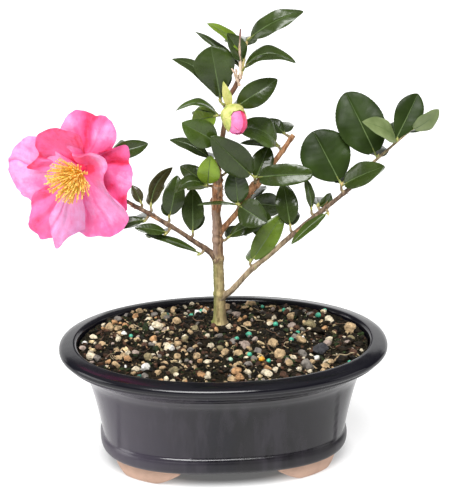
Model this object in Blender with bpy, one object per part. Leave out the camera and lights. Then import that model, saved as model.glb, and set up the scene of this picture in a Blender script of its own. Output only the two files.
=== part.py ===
"""Camellia bonsai: a small flowering camellia in an oval glazed pot.

Metres, +Z up. The origin is on the ground below the middle of the pot, +X runs along
the pot's long side and -Y is the front. The limbs, the leaves and the petals are worked
out in millimetres and scaled at the end.
"""
import math
import random

import bmesh
import bpy
from mathutils import Matrix, Vector
from mathutils.bvhtree import BVHTree

MM = 0.001
GAP = 0.3
MERGE = 1e-7

# Driving dimensions of the pot, in millimetres
RIM_HALF_LENGTH = 101.6
RIM_HALF_DEPTH = 71.1
RIM_TOP = 77.4
LIP_WIDTH = 9.8
WALL = 6.0
UNDERSIDE = 10.3
FLOOR_TOP = 15.0
PANEL_HALF_LENGTH = 67.0
PANEL_RECESS = 1.4
PANEL_FOOT = 21.0
PANEL_TOP = 60.0
DEPTH_RATIO = 0.78
RING_POINTS = 48
DRAIN_RADIUS = 7.0
DRAIN_PLACE = 34.0

# Driving dimensions of the soil and of the trunk's foot
SOIL_EDGE = 74.5
SOIL_BACK_RISE = 1.8
SOIL_CROWN = 79.3
SOIL_CLEARANCE = 0.5
TRUNK_PLACE = (-0.7, 22.0)
FOOT_PATCH = 8.0

# Stones that stand out of the soil, as x, y and size; others fill the spaces between them
STONES = (
    (4, -44, 7.0), (6, -52, 5.5), (22, -48, 6.5), (12, -35, 6.5), (32, -47, 5.5), (37, -35, 5.5),
    (47, -39, 9.5), (56, -45, 5.0), (58, -19, 11.5), (64, -6, 6.0), (78, -20, 6.0), (81, 13, 7.5),
    (55, 18, 9.0), (44, 17, 5.5), (29, -9, 7.5), (20, -3, 5.0), (12, -12, 7.5), (20, -18, 5.5),
    (-3, 1, 5.0), (-35, -8, 7.0), (-29, -5, 5.0), (-26, -15, 5.0), (-43, 4, 5.0), (-28, 24, 5.5),
    (-48, -20, 6.5), (-50, -33, 7.0), (-43, -42, 5.5), (-33, -39, 6.0), (-13, -44, 5.0), (-67, -29, 5.5),
    (-60, -22, 5.5), (-77, -3, 5.5), (-65, 8, 5.0), (-56, 26, 5.0), (-53, 41, 5.0), (-80, 15, 5.5),
    (-36, 50, 5.5), (-28, 46, 5.0), (36, 49, 5.5),
)
STONE_SPACING = 12.5
STONE_SEED = 8
STONE_DRAWS = 600
STONE_SUNK = 0.1

# The front view: the leaves and petals are placed by the clock angle at which they
# show from there and by their lean towards that viewer
VIEW_TURN = math.radians(-4.5)
VIEW_RISE = math.radians(22.4)
TOWARD = Vector((
    math.sin(VIEW_TURN) * math.cos(VIEW_RISE),
    -math.cos(VIEW_TURN) * math.cos(VIEW_RISE),
    math.sin(VIEW_RISE),
))
ACROSS = Vector((0, 0, 1)).cross(TOWARD).normalized()
UPWARD = TOWARD.cross(ACROSS)

# Leaves
LEAF_THICK = 0.7
STALK_THICK = 1.1
LEAF_STATIONS = (0.0, 0.07, 0.18, 0.4, 0.65, 0.87)
STEM_RADIUS = 1.0
PARTNER_SEED = 41
PARTNER_DRAWS = 10


def clear_scene():
    """Remove whatever the file holds."""
    for item in list(bpy.data.objects):
        bpy.data.objects.remove(item, do_unlink=True)


def material(name, colour, roughness):
    """A plain Principled material."""
    made = bpy.data.materials.new(name)
    made.use_nodes = True
    shader = made.node_tree.nodes["Principled BSDF"]
    shader.inputs["Base Color"].default_value = (*colour, 1.0)
    shader.inputs["Roughness"].default_value = roughness
    shader.inputs["Metallic"].default_value = 0.0
    return made


def add_object(name, verts, faces, look, scale=MM):
    """A mesh object from points in millimetres, its faces turned outwards."""
    mesh = bpy.data.meshes.new(name)
    mesh.from_pydata([Vector(v) * scale for v in verts], [], faces)
    work = bmesh.new()
    work.from_mesh(mesh)
    bmesh.ops.recalc_face_normals(work, faces=work.faces)
    work.to_mesh(mesh)
    work.free()
    if look is not None:
        mesh.materials.append(look)
    made = bpy.data.objects.new(name, mesh)
    bpy.context.collection.objects.link(made)
    return made


def smooth(made, angle=40):
    """Shade round pieces smooth, with their true edges kept sharp."""
    made.data.shade_smooth()
    made.data.set_sharp_from_angle(angle=math.radians(angle))


def seen(clock, lean):
    """The direction that shows at a clock angle and leans towards the viewer."""
    turn = math.radians(clock)
    rise = math.radians(lean)
    flat = ACROSS * math.cos(turn) + UPWARD * math.sin(turn)
    return flat * math.cos(rise) + TOWARD * math.sin(rise)


# Pot
def oval_exponent(height):
    """The body is squarer at its foot than at its rim."""
    share = min(max((height - UNDERSIDE) / (RIM_TOP - UNDERSIDE), 0.0), 1.0)
    return 2.56 - 0.44 * share


def oval_ring(half_length, half_depth, height, recess=None):
    """One ring of the pot; a ring that knows its recess has points on the panels' upright edges."""
    power = oval_exponent(height)
    quarter = RING_POINTS // 4
    if recess is None:
        angles = [0.5 * math.pi * i / quarter for i in range(quarter + 1)]
        return oval_points(half_length, half_depth, height, power, angles, quarter, 0.0)
    edge_share = PANEL_HALF_LENGTH / half_length
    edge = math.acos(min(edge_share, 0.999) ** (power / 2))
    step = 1.0 / half_length
    inner = math.acos((min(edge_share, 0.999) - step) ** (power / 2))
    near = 4
    angles = [edge * i / near for i in range(near + 1)]
    angles += [inner + (math.pi / 2 - inner) * i / (quarter - near - 1) for i in range(quarter - near)]
    return oval_points(half_length, half_depth, height, power, angles, near, recess)


def oval_points(half_length, half_depth, height, power, angles, plain, recess):
    """A whole ring from the angles of one quarter; points after the plain ones are set back."""
    first = []
    for i, angle in enumerate(angles):
        x = half_length * max(math.cos(angle), 0.0) ** (2 / power) if i < len(angles) - 1 else 0.0
        y = half_depth * math.sin(angle) ** (2 / power)
        if i > plain:
            y -= recess
        first.append((x, y))
    second = [(-x, y) for x, y in reversed(first[:-1])]
    half = first + second
    ring = half + [(x, -y) for x, y in reversed(half[1:-1])]
    return [(x, y, height) for x, y in ring]


def body_half_depth(half_length):
    """Half depth of the body that goes with a half length."""
    return RIM_HALF_DEPTH - DEPTH_RATIO * (RIM_HALF_LENGTH - half_length)


def panel_depth(height):
    """How far the panel is set back: most at its foot, running out to nothing at its top."""
    if not PANEL_FOOT <= height < PANEL_TOP:
        return 0.0
    return PANEL_RECESS * ((PANEL_TOP - height) / (PANEL_TOP - PANEL_FOOT)) ** 0.6


def pot_rings():
    """Rings from the middle of the underside, up the outside and down the inside."""
    outer = [
        (74.0, 10.3), (75.8, 11.8), (77.2, 14.5), (77.0, 17.6), (76.0, 19.3), (76.6, PANEL_FOOT),
        (78.0, 31.0), (79.6, 39.0), (81.8, 48.0), (84.2, 56.0), (86.3, PANEL_TOP), (90.0, 64.5),
        (95.5, 68.2), (98.4, 69.6), (98.8, 71.8),
    ]
    rings = [oval_ring(a, body_half_depth(a), z, panel_depth(z)) for a, z in outer]
    lip = [(100.6, 72.2), (101.6, 73.6), (102.0, 75.4), (101.4, 77.2), (99.5, 78.2),
           (RIM_HALF_LENGTH - LIP_WIDTH, 78.1)]
    for half_length, height in lip:
        half_depth = half_length - (RIM_HALF_LENGTH - RIM_HALF_DEPTH)
        rings.append(oval_ring(half_length, half_depth, height, 0.0))
    inner = [(90.6, 76.5), (89.0, 70.0), (78.5, 54.0), (73.0, 36.0), (69.5, FLOOR_TOP)]
    for half_length, height in inner:
        half_depth = body_half_depth(half_length + WALL) - WALL if height < 60 else half_length - 30.9
        rings.append(oval_ring(half_length, half_depth, height))
    return rings


def loft(rings):
    """Skin between closed rings of the same number of points, capped at both ends."""
    count = len(rings[0])
    verts = [point for ring in rings for point in ring]
    faces = []
    for k in range(len(rings) - 1):
        for i in range(count):
            j = (i + 1) % count
            faces.append((k * count + i, k * count + j, (k + 1) * count + j, (k + 1) * count + i))
    faces.append(tuple(range(count)))
    faces.append(tuple(range((len(rings) - 1) * count, len(rings) * count)))
    return verts, faces


def make_pot(look):
    """Glazed bowl with a wide lip, a panel on each long side and two drain recesses."""
    verts, faces = loft(pot_rings())
    pot = add_object("pot", verts, faces, look)
    for side in (-1, 1):
        bpy.ops.mesh.primitive_cylinder_add(
            vertices=16, radius=DRAIN_RADIUS * MM, depth=7.0 * MM,
            location=(side * DRAIN_PLACE * MM, 0, UNDERSIDE * MM))
        cutter = bpy.context.object
        cutter.name = "drain_cutter_left" if side < 0 else "drain_cutter_right"
        cutter.hide_render = True
        cutter.display_type = "WIRE"
        cut = pot.modifiers.new(cutter.name, "BOOLEAN")
        cut.operation = "DIFFERENCE"
        cut.object = cutter
    smooth(pot, 35)
    return pot


def make_feet(look):
    """Four unglazed feet that follow the foot of the body round its corners."""
    half_length = 72.5
    half_depth = body_half_depth(half_length)
    depth = 13.0
    steps = 10
    power = oval_exponent(UNDERSIDE)
    first_angle, last_angle = math.radians(17), math.radians(70)
    for side_x, side_y, name in ((-1, -1, "front_left"), (1, -1, "front_right"),
                                 (-1, 1, "back_left"), (1, 1, "back_right")):
        rings = []
        for k in range(steps + 1):
            share = k / steps
            angle = first_angle + (last_angle - first_angle) * share
            rise = 7.5 * max(0.0, abs(2 * share - 1) - 0.45) ** 1.5 / 0.55 ** 1.5
            ring = []
            for inset, height in ((0.0, UNDERSIDE - GAP), (1.6, rise), (depth - 2.5, rise),
                                  (depth, UNDERSIDE - GAP)):
                x = (half_length - inset) * math.cos(angle) ** (2 / power)
                y = (half_depth - inset) * math.sin(angle) ** (2 / power)
                ring.append((side_x * x, side_y * y, height))
            rings.append(ring)
        verts, faces = loft(rings)
        smooth(add_object("foot_" + name, verts, faces, look), 50)


def inner_half_length(height):
    """Half length of the inside of the pot at a height."""
    low = (69.5, FLOOR_TOP)
    for high in ((73.0, 36.0), (78.5, 54.0), (89.0, 70.0), (90.6, 76.5)):
        if height <= high[1]:
            share = (height - low[1]) / (high[1] - low[1])
            return low[0] + (high[0] - low[0]) * share
        low = high
    return low[0]


def soil_half_sizes(height):
    """Half length and half depth of the soil at a height, just clear of the pot's wall."""
    half_length = inner_half_length(height)
    if height < 60:
        half_depth = body_half_depth(half_length + WALL) - WALL
    else:
        half_depth = half_length - 30.9
    return half_length - SOIL_CLEARANCE, half_depth - SOIL_CLEARANCE


def inside_edge(x, y, margin):
    """Whether a place on the soil lies at least the margin inside its edge."""
    half_length, half_depth = soil_half_sizes(SOIL_EDGE)
    power = oval_exponent(SOIL_EDGE)
    return abs(x / (half_length - margin)) ** power + abs(y / (half_depth - margin)) ** power <= 1.0


def soil_height(x, y):
    """Height of the soil: a mound round the trunk's foot, its edge higher at the pot's back."""
    away = Vector((x - TRUNK_PLACE[0], y - TRUNK_PLACE[1]))
    way = away.normalized()
    near, far = 0.0, 2 * RIM_HALF_LENGTH
    for _ in range(24):
        middle = 0.5 * (near + far)
        inside = inside_edge(TRUNK_PLACE[0] + way.x * middle, TRUNK_PLACE[1] + way.y * middle, 0.0)
        near, far = (middle, far) if inside else (near, middle)
    reach = min(max((away.length - FOOT_PATCH) / (near - FOOT_PATCH), 0.0), 1.0)
    back = min(max((TRUNK_PLACE[1] + way.y * near) / 50.0, 0.0), 1.0)
    edge = SOIL_EDGE + SOIL_BACK_RISE * back * back * (3 - 2 * back)
    return edge + (SOIL_CROWN - edge) * (0.5 + 0.5 * math.cos(math.pi * reach ** 0.85))


def stone_places():
    """The named stones, then others by chance wherever there is space between them."""
    draws = random.Random(STONE_SEED)
    stones = list(STONES)
    for _ in range(STONE_DRAWS):
        x = draws.uniform(-RIM_HALF_LENGTH, RIM_HALF_LENGTH)
        y = draws.uniform(-RIM_HALF_DEPTH, RIM_HALF_DEPTH)
        size = draws.uniform(5.0, 8.0)
        from_trunk = math.hypot(x - TRUNK_PLACE[0], y - TRUNK_PLACE[1])
        if not inside_edge(x, y, size / 2 + 1.0) or from_trunk < FOOT_PATCH + size / 2:
            continue
        if all(math.hypot(x - p, y - q) > STONE_SPACING for p, q, _ in stones):
            stones.append((x, y, size))
    return stones


def stone_mesh(x, y, size, draws):
    """A stone of few faces, sunk to about its middle: two uneven rings between two poles."""
    middle = soil_height(x, y) + STONE_SUNK * size
    turn = draws.uniform(0.0, 2 * math.pi)
    sides = 6
    verts = []
    for fall in (math.radians(58), math.radians(122)):
        for k in range(sides):
            angle = turn + 2 * math.pi * k / sides
            radius = 0.5 * size * draws.uniform(0.86, 1.06)
            flat = radius * math.sin(fall)
            height = middle + radius * math.cos(fall)
            verts.append((x + flat * math.cos(angle), y + flat * math.sin(angle), height))
    verts += [(x, y, middle + 0.42 * size), (x, y, middle - 0.42 * size)]
    faces = []
    for k in range(sides):
        after = (k + 1) % sides
        faces.append((k, after, sides + after, sides + k))
        faces.append((k, after, 2 * sides))
        faces.append((sides + k, sides + after, 2 * sides + 1))
    return verts, faces


def make_soil(look):
    """Mounded soil that fills the pot, flat under the trunk's foot, with the larger stones in it."""
    wall_heights = (FLOOR_TOP + GAP + 0.1, 36.0, 54.0, 70.0)
    rings = [oval_ring(*soil_half_sizes(height), height) for height in wall_heights]
    edge = oval_ring(*soil_half_sizes(SOIL_EDGE), SOIL_EDGE)
    for reach in (1.0, 0.8, 0.6, 0.4, 0.2, 0.0):
        ring = []
        for x, y, _ in edge:
            away = Vector((x - TRUNK_PLACE[0], y - TRUNK_PLACE[1]))
            near = away.normalized() * FOOT_PATCH
            spot = Vector(TRUNK_PLACE) + near + (away - near) * reach
            ring.append((spot.x, spot.y, soil_height(spot.x, spot.y)))
        rings.append(ring)
    draws = random.Random(STONE_SEED)
    stones = [stone_mesh(*stone, draws) for stone in stone_places()]
    smooth(fuse("soil", [loft(rings), *stones], look), 40)


# Limbs: each line holds a few stations, as x, y, z and radius in millimetres
TRUNK_LINE = (
    (-0.7, 22.0, SOIL_CROWN + GAP, 4.9), (-0.7, 22.0, 82.5, 4.0), (-0.9, 22.0, 98.0, 3.5),
    (-1.6, 22.0, 120.5, 3.3), (-2.1, 21.5, 142.0, 3.0), (-2.9, 21.0, 155.5, 2.9),
    (-2.2, 21.0, 168.5, 3.1), (-1.8, 20.5, 178.0, 2.2), (-1.4, 20.0, 187.0, 1.7),
    (1.2, 20.0, 205.0, 1.5), (4.2, 20.0, 226.0, 1.4), (8.5, 20.0, 234.5, 1.5), (11.4, 19.5, 241.5, 1.2),
)
RIGHT_LINE = (
    (-0.5, 21.5, 97.0, 2.0), (5.5, 19.0, 101.5, 1.9), (10.0, 17.5, 107.0, 1.7), (18.2, 15.0, 117.5, 1.65),
    (30.0, 13.0, 128.5, 1.55), (42.0, 11.0, 140.5, 1.5), (54.7, 9.0, 152.5, 1.4),
    (64.5, 8.0, 161.0, 1.35), (72.0, 7.0, 167.8, 1.3), (81.8, 7.0, 176.5, 1.2), (86.5, 7.0, 183.5, 1.1),
)
LEFT_LINE = (
    (-2.0, 21.5, 122.5, 2.1), (-7.4, 22.0, 128.0, 1.7), (-16.0, 22.5, 134.2, 1.5), (-24.6, 23.0, 140.6, 1.4),
    (-32.2, 23.5, 145.6, 1.35), (-41.7, 24.5, 151.6, 1.3), (-50.2, 26.0, 156.4, 1.2),
    (-58.7, 29.5, 160.5, 1.15), (-68.0, 32.0, 167.0, 1.1), (-75.5, 31.0, 173.5, 1.1),
)
MIDDLE_LINE = (
    (-1.6, 21.5, 140.0, 2.0), (4.5, 22.0, 146.4, 1.7), (11.3, 23.0, 154.4, 1.6), (14.9, 24.0, 161.8, 1.8),
    (20.2, 25.5, 168.3, 2.4), (24.6, 27.0, 171.5, 1.9), (31.0, 30.0, 178.8, 1.6),
    (39.3, 33.0, 189.2, 1.5), (46.0, 36.0, 197.8, 1.4),
)


def spline(line, count):
    """Points and radii at even steps on a smooth curve through a limb's stations."""
    rows = [Vector(station) for station in line]
    rows = [rows[0] * 2 - rows[1]] + rows + [rows[-1] * 2 - rows[-2]]
    fine = []
    parts = 8
    for a, b, c, d in zip(rows, rows[1:], rows[2:], rows[3:]):
        for k in range(parts):
            t = k / parts
            fine.append(0.5 * (2 * b + (c - a) * t + (2 * a - 5 * b + 4 * c - d) * t * t
                               + (3 * b - a - 3 * c + d) * t ** 3))
    fine.append(rows[-2])
    marks = [0.0]
    for p, q in zip(fine, fine[1:]):
        marks.append(marks[-1] + (q - p).length)
    out = []
    k = 0
    for i in range(count):
        target = marks[-1] * i / (count - 1)
        while k < len(marks) - 2 and marks[k + 1] < target:
            k += 1
        share = (target - marks[k]) / (marks[k + 1] - marks[k])
        out.append(fine[k].lerp(fine[k + 1], min(share, 1.0)))
    return out


def tube_mesh(stations, sides, flat_foot=False):
    """A closed round tube along stations of x, y, z and radius."""
    points = [Vector(s[:3]) for s in stations]
    side_axis = Vector((1.0, 0.0, 0.0))
    rings = []
    for i, point in enumerate(points):
        ahead = points[min(i + 1, len(points) - 1)] - points[max(i - 1, 0)]
        ahead.normalize()
        if i == 0 and flat_foot:
            ahead = Vector((0.0, 0.0, 1.0))
        side_axis = (side_axis - ahead * side_axis.dot(ahead)).normalized()
        other = ahead.cross(side_axis)
        ring = []
        for k in range(sides):
            turn = 2 * math.pi * k / sides
            ring.append(point + (side_axis * math.cos(turn) + other * math.sin(turn)) * stations[i][3])
        rings.append(ring)
    return loft(rings)


def make_limb(name, line, count, sides, look, clearance=None):
    """A tapering limb, cut clear of the trunk where it leaves it."""
    verts, faces = tube_mesh(spline(line, count), sides, flat_foot=clearance is None)
    limb = add_object(name, verts, faces, look)
    if clearance is not None:
        cut = limb.modifiers.new("clear_of_trunk", "BOOLEAN")
        cut.operation = "DIFFERENCE"
        cut.object = clearance
    smooth(limb, 60)
    return limb


def make_clearance(line, count):
    """The trunk again, fatter by the gap, as the cutter of the limbs that join it."""
    fat = [Vector((*s[:3], s[3] + GAP)) for s in spline(line, count)]
    verts, faces = tube_mesh(fat, 10, flat_foot=True)
    cutter = add_object("trunk_clearance", verts, faces, None)
    cutter.hide_render = True
    cutter.display_type = "WIRE"
    return cutter


# Leaves
def leaf_half_width(share, width, widest):
    """Half the width of the blade: bluntly pointed ends, and widest at a share of its length."""
    power = math.log(0.5) / math.log(widest)
    return 0.5 * width * math.sin(math.pi * share ** power) ** 0.68


def leaf_mesh(base, row):
    """A closed leaf on its stalk, thickest along its midrib and thin at its edge."""
    direction = seen(row["clock"], row["lean"])
    facing = row["facing"] or TOWARD
    facing = (facing - direction * facing.dot(direction)).normalized()
    facing = Matrix.Rotation(math.radians(row["roll"]), 3, direction) @ facing
    verts = []
    for share in LEAF_STATIONS:
        turn = math.radians(row["twist"] * share)
        up = Matrix.Rotation(turn, 3, direction) @ facing
        side = direction.cross(up)
        middle = base + direction * row["length"] * share
        middle = middle + facing * row["length"] * row["arch"] * 4 * share * (1 - share)
        if share <= LEAF_STATIONS[1]:
            half, thick, lift = STALK_THICK / 2, STALK_THICK / 2, 0.0
        else:
            blade = (share - LEAF_STATIONS[1]) / (1 - LEAF_STATIONS[1])
            half = leaf_half_width(blade, row["width"], row["widest"])
            thick, lift = LEAF_THICK / 2, half * row["fold"]
        verts += [middle + side * half + up * lift, middle + up * thick,
                  middle - side * half + up * lift, middle - up * thick]
    verts.append(base + direction * row["length"])
    faces = [(0, 1, 2, 3)]
    last = len(LEAF_STATIONS) - 1
    for k in range(last):
        for i in range(4):
            j = (i + 1) % 4
            faces.append((4 * k + i, 4 * k + j, 4 * k + 4 + j, 4 * k + 4 + i))
    for i in range(4):
        faces.append((4 * last + i, 4 * last + (i + 1) % 4, 4 * last + 4))
    return verts, faces


def leaf(root, clock, lean, length, width, roll=0, arch=0.06, fold=0.2, twist=0, partner=0, facing=None,
         widest=0.45):
    """One leaf of a shoot: where on the shoot it starts, how it points and its size.

    A partner is a second leaf behind it, turned that many degrees further from the viewer.
    """
    return {"root": root, "clock": clock, "lean": lean, "length": length, "width": width, "roll": roll,
            "arch": arch, "fold": fold, "twist": twist, "partner": partner, "facing": facing,
            "widest": widest}


def twig(root, clock, lean, length, thick=0.7):
    """A bare twig of a shoot, dead or broken off."""
    return {"root": root, "clock": clock, "lean": lean, "length": length, "thick": thick, "partner": 0}


def twig_mesh(base, row):
    """A thin closed tube that narrows to its end."""
    way = seen(row["clock"], row["lean"]) * row["length"]
    stations = [Vector((*(base + way * share), row["thick"] * (1 - 0.4 * share))) for share in (0, 0.5, 1)]
    return tube_mesh(stations, 5)


def shoot(limb, along, clock, lean, length, leaves):
    """One mass: a stem that leaves a limb, or goes on from its end, with the leaves that it carries."""
    return {"limb": limb, "along": along, "clock": clock, "lean": lean, "length": length, "leaves": leaves}


SHOOTS = {
    "leaves_crown_tip": shoot("trunk", 1.0, 80, 0, 19, leaves=(
        leaf(1.0, 27, 8, 38, 13, roll=-20, arch=0.16),
        leaf(0.02, 9, 10, 33, 15, roll=-50, arch=0.3),
        leaf(0.5, 139, 10, 30, 11, roll=50, arch=0.12, partner=55),
        leaf(0.33, 121, 25, 21, 12, roll=25, arch=0.05),
        leaf(0.11, 141, -5, 36, 9, roll=55, arch=0.04),
        leaf(0.8, 90, -72, 31, 14, facing=Vector((0.1, 0.4, 0.9))),
        leaf(0.3, 170, -66, 31, 14, facing=Vector((-0.1, 0.5, 0.8))),
        twig(0.1, 85, 14, 25),
        twig(0.0, 118, 30, 11, 0.9),
    )),
    "leaves_crown_right": shoot("trunk", 0.87, 10, 10, 2, leaves=(
        leaf(1.0, 33, 5, 31, 15, roll=5, arch=0.15, partner=50),
    )),
    "leaves_crown_left": shoot("trunk", 0.875, 130, 30, 2, leaves=(
        leaf(0.9, 101, 20, 35, 25, roll=5, arch=0.05, partner=60, widest=0.6),
        leaf(0.5, 138, -8, 41, 11, roll=35, arch=0.22),
    )),
    "leaves_bud": shoot("trunk", 0.845, 190, 25, 2, leaves=(
        leaf(0.9, 174, 5, 26, 10, roll=60, arch=0.27, partner=50),
        leaf(1.0, 190, -24, 18, 16, roll=0, arch=0.04),
    )),
    "leaves_heart": shoot("trunk", 0.73, 120, 60, 1.5, leaves=(
        leaf(1.0, 153, 28, 28, 17, roll=0, arch=0.06),
    )),
    "leaves_heart_low": shoot("trunk", 0.66, 175, -10, 1.5, leaves=(
        leaf(1.0, 154, -8, 29, 10, roll=40, arch=0.12, partner=50),
    )),
    "leaves_trunk_left": shoot("trunk", 0.556, 170, 15, 2, leaves=(
        leaf(1.0, 193, 5, 21, 11, roll=45, arch=0.3, partner=50),
        leaf(0.7, 145, -15, 22, 11, roll=10, arch=0.12),
        leaf(1.0, 84, 32, 21, 14, roll=0, arch=0.12),
    )),
    "leaves_trunk_right": shoot("trunk", 0.6, 40, -10, 2, leaves=(
        leaf(1.0, 66, 12, 13, 9, roll=0, arch=0.08),
        leaf(0.6, 40, -62, 28, 13, facing=Vector((0.3, 0.4, 0.8))),
    )),
    "leaves_trunk_low": shoot("trunk", 0.34, 40, 20, 2, leaves=(
        leaf(1.0, 20, 12, 25, 9, roll=-50, arch=0.12, twist=80, partner=60),
    )),
    "leaves_middle_low": shoot("middle", 0.27, 95, 65, 4.5, leaves=(
        leaf(1.0, -33, 25, 23, 18, roll=10, fold=0.35),
        leaf(0.5, 96, 14, 24, 15, roll=0),
        leaf(1.0, 181, 24, 27, 6, roll=68, arch=0.04),
    )),
    "leaves_middle_back": shoot("middle", 0.34, -30, -50, 4, leaves=(
        leaf(1.0, -62, -18, 27, 15, roll=0),
        leaf(0.8, -5, -38, 27, 15, roll=0),
        leaf(0.6, 50, -60, 28, 14, facing=Vector((0.1, 0.6, 0.7))),
    )),
    "leaves_middle_front": shoot("middle", 0.5, 100, 65, 6, leaves=(
        leaf(1.0, 138, 32, 42, 19, roll=-8, arch=0.04),
        leaf(0.3, 68, -14, 24, 14, roll=0),
        leaf(1.0, 3, 12, 36, 14, roll=-10, arch=0.07, partner=62),
    )),
    "leaves_middle_high": shoot("middle", 0.85, 120, 30, 1.5, leaves=(
        leaf(1.0, 159, 10, 30, 21, roll=36, arch=0.25, partner=55, widest=0.37),
        leaf(0.6, 175, 4, 24, 7, roll=50),
    )),
    "leaves_middle_tip": shoot("middle", 0.97, 150, -15, 2, leaves=(
        leaf(1.0, 142, -10, 15, 9, roll=20, arch=0.12),
        leaf(1.0, 100, -70, 28, 13, facing=Vector((0.1, 0.5, 0.8))),
    )),
    "leaves_right_foot": shoot("right", 0.25, 100, 30, 1, leaves=(
        leaf(1.0, 56, 8, 38, 14, roll=0, partner=58),
    )),
    "leaves_right_low": shoot("right", 0.52, 95, 0, 2, leaves=(
        leaf(1.0, 99, -6, 28, 14, roll=0, partner=55),
    )),
    "leaves_right_inner": shoot("right", 0.66, 95, 20, 2, leaves=(
        leaf(1.0, 102, 8, 20, 8, roll=45),
    )),
    "leaves_right_fork": shoot("right", 0.73, -45, 40, 1, leaves=(
        leaf(1.0, 221, 14, 31, 9, roll=50, arch=0.03),
    )),
    "leaves_right_back": shoot("right", 0.7, 120, -30, 1, leaves=(
        leaf(1.0, 47, -12, 12, 8, roll=30, arch=0.24),
        leaf(0.8, 95, -76, 30, 14, facing=Vector((0.2, 0.6, 0.7))),
    )),
    "leaves_right_mid": shoot("right", 0.85, 95, 15, 3, leaves=(
        leaf(1.0, 117, -4, 37, 31, roll=0, arch=0.04, fold=0.1, partner=55, widest=0.54),
        leaf(0.7, 24, 26, 31, 16, roll=-30, fold=0.3),
    )),
    "leaves_right_tip": shoot("right", 1.0, 41, 2, 35, leaves=(
        leaf(0.24, 115, -6, 45, 29, roll=0, arch=0.04, fold=0.1, partner=55, widest=0.5),
        leaf(0.68, 154, 35, 30, 15, roll=40, arch=0.12),
        leaf(0.6, 64, -5, 35, 17, roll=0, partner=50, widest=0.6),
        leaf(1.0, 36, 12, 21, 13, roll=40, arch=0.1),
        leaf(0.9, 20, -60, 28, 13, facing=Vector((0.4, 0.5, 0.7))),
    )),
    "leaves_left_under": shoot("left", 0.12, 225, 20, 1.5, leaves=(
        leaf(1.0, 161, 8, 37, 8, roll=55, arch=0.05),
    )),
    "leaves_left_first": shoot("left", 0.245, 95, 10, 1.2, leaves=(
        leaf(1.0, 90, 0, 28, 14, roll=0, partner=55),
    )),
    "leaves_left_second": shoot("left", 0.43, 100, 10, 1.4, leaves=(
        leaf(1.0, 79, 6, 27, 14, roll=10, arch=0.08, partner=55),
    )),
    "leaves_left_low": shoot("left", 0.4, -120, 20, 2, leaves=(
        leaf(1.0, 172, 15, 21, 8, roll=30, arch=0.06),
        leaf(0.7, 195, -62, 28, 13, facing=Vector((-0.3, 0.5, 0.7))),
    )),
    "leaves_left_third": shoot("left", 0.57, 105, 0, 2, leaves=(
        leaf(1.0, 61, 5, 28, 10, roll=40, arch=-0.22, partner=50),
    )),
    "leaves_left_end": shoot("left", 0.64, 110, 20, 1, leaves=(
        leaf(1.0, 117, 0, 13, 7, roll=20),
    )),
    "leaves_left_tip": shoot("left", 0.57, -120, 0, 1.5, leaves=(
        leaf(1.0, 194, 4, 22, 8, roll=30),
        leaf(0.7, 170, -72, 28, 13, facing=Vector((-0.3, 0.5, 0.7))),
    )),
    "leaves_bloom": shoot("left", 0.96, 78, -12, 17, leaves=(
        leaf(1.0, 15, -4, 25, 11, roll=10, partner=35),
        leaf(0.5, 60, -45, 28, 13, facing=Vector((-0.1, 0.8, 0.5))),
    )),
}
LIMB_LINES = {"trunk": TRUNK_LINE, "right": RIGHT_LINE, "left": LEFT_LINE, "middle": MIDDLE_LINE}


def limb_exit(limb, along, direction):
    """Where a stem leaves a limb: a start just clear of its bark and the way straight out."""
    stations = spline(LIMB_LINES[limb], 101)
    mark = round(along * 100)
    spot = stations[mark]
    ahead = Vector(stations[min(mark + 1, 100)][:3]) - Vector(stations[max(mark - 1, 0)][:3])
    ahead.normalize()
    if mark == 100:
        return Vector(spot[:3]) + ahead * (GAP + 0.05), ahead, spot[3]
    away = (direction - ahead * direction.dot(ahead)).normalized()
    return Vector(spot[:3]) + away * (spot[3] + GAP + 0.05), away, spot[3]


def shoot_stem(row):
    """The stem of a shoot, as its three points and its radius."""
    direction = seen(row["clock"], row["lean"])
    start, away, radius = limb_exit(row["limb"], row["along"], direction)
    if row["along"] == 1.0:
        first, thick = start + away * 2.0, radius * 0.85
    else:
        first, thick = start + away * 1.0, STEM_RADIUS
    return [start, first, first + direction * row["length"]], thick


def fuse(name, pieces, look, solver="EXACT"):
    """Join closed pieces into one solid and drop what is sealed inside it."""
    group = bpy.data.collections.new(name + "_pieces")
    bpy.context.scene.collection.children.link(group)
    parts = []
    for i, (verts, faces) in enumerate(pieces[1:]):
        part = add_object(f"{name}_{i}", verts, faces, None)
        bpy.context.collection.objects.unlink(part)
        group.objects.link(part)
        parts.append(part)
    whole = add_object(name, *pieces[0], look)
    if parts:
        join = whole.modifiers.new("join", "BOOLEAN")
        join.operation = "UNION"
        join.operand_type = "COLLECTION"
        join.solver = solver
        join.collection = group
        evaluated = whole.evaluated_get(bpy.context.evaluated_depsgraph_get())
        mesh = bpy.data.meshes.new_from_object(evaluated)
        whole.modifiers.clear()
        whole.data = mesh
    for part in parts:
        bpy.data.objects.remove(part, do_unlink=True)
    bpy.data.collections.remove(group)
    keep_outer_skin(whole.data)
    return whole


def keep_outer_skin(mesh):
    """Keep only the largest connected skin of a joined mesh."""
    work = bmesh.new()
    work.from_mesh(mesh)
    bmesh.ops.remove_doubles(work, verts=work.verts, dist=MERGE)
    left = set(work.verts)
    groups = []
    while left:
        stack = [left.pop()]
        group = set(stack)
        while stack:
            for edge in stack.pop().link_edges:
                for vert in edge.verts:
                    if vert in left:
                        left.remove(vert)
                        group.add(vert)
                        stack.append(vert)
        groups.append(group)
    groups.sort(key=len)
    scrap = [vert for group in groups[:-1] for vert in group]
    bmesh.ops.delete(work, geom=scrap, context="VERTS")
    bmesh.ops.triangulate(work, faces=work.faces)
    work.to_mesh(mesh)
    work.free()


def tree_of(verts, faces):
    """A search tree of one piece."""
    return BVHTree.FromPolygons([Vector(v) for v in verts], faces)


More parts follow.
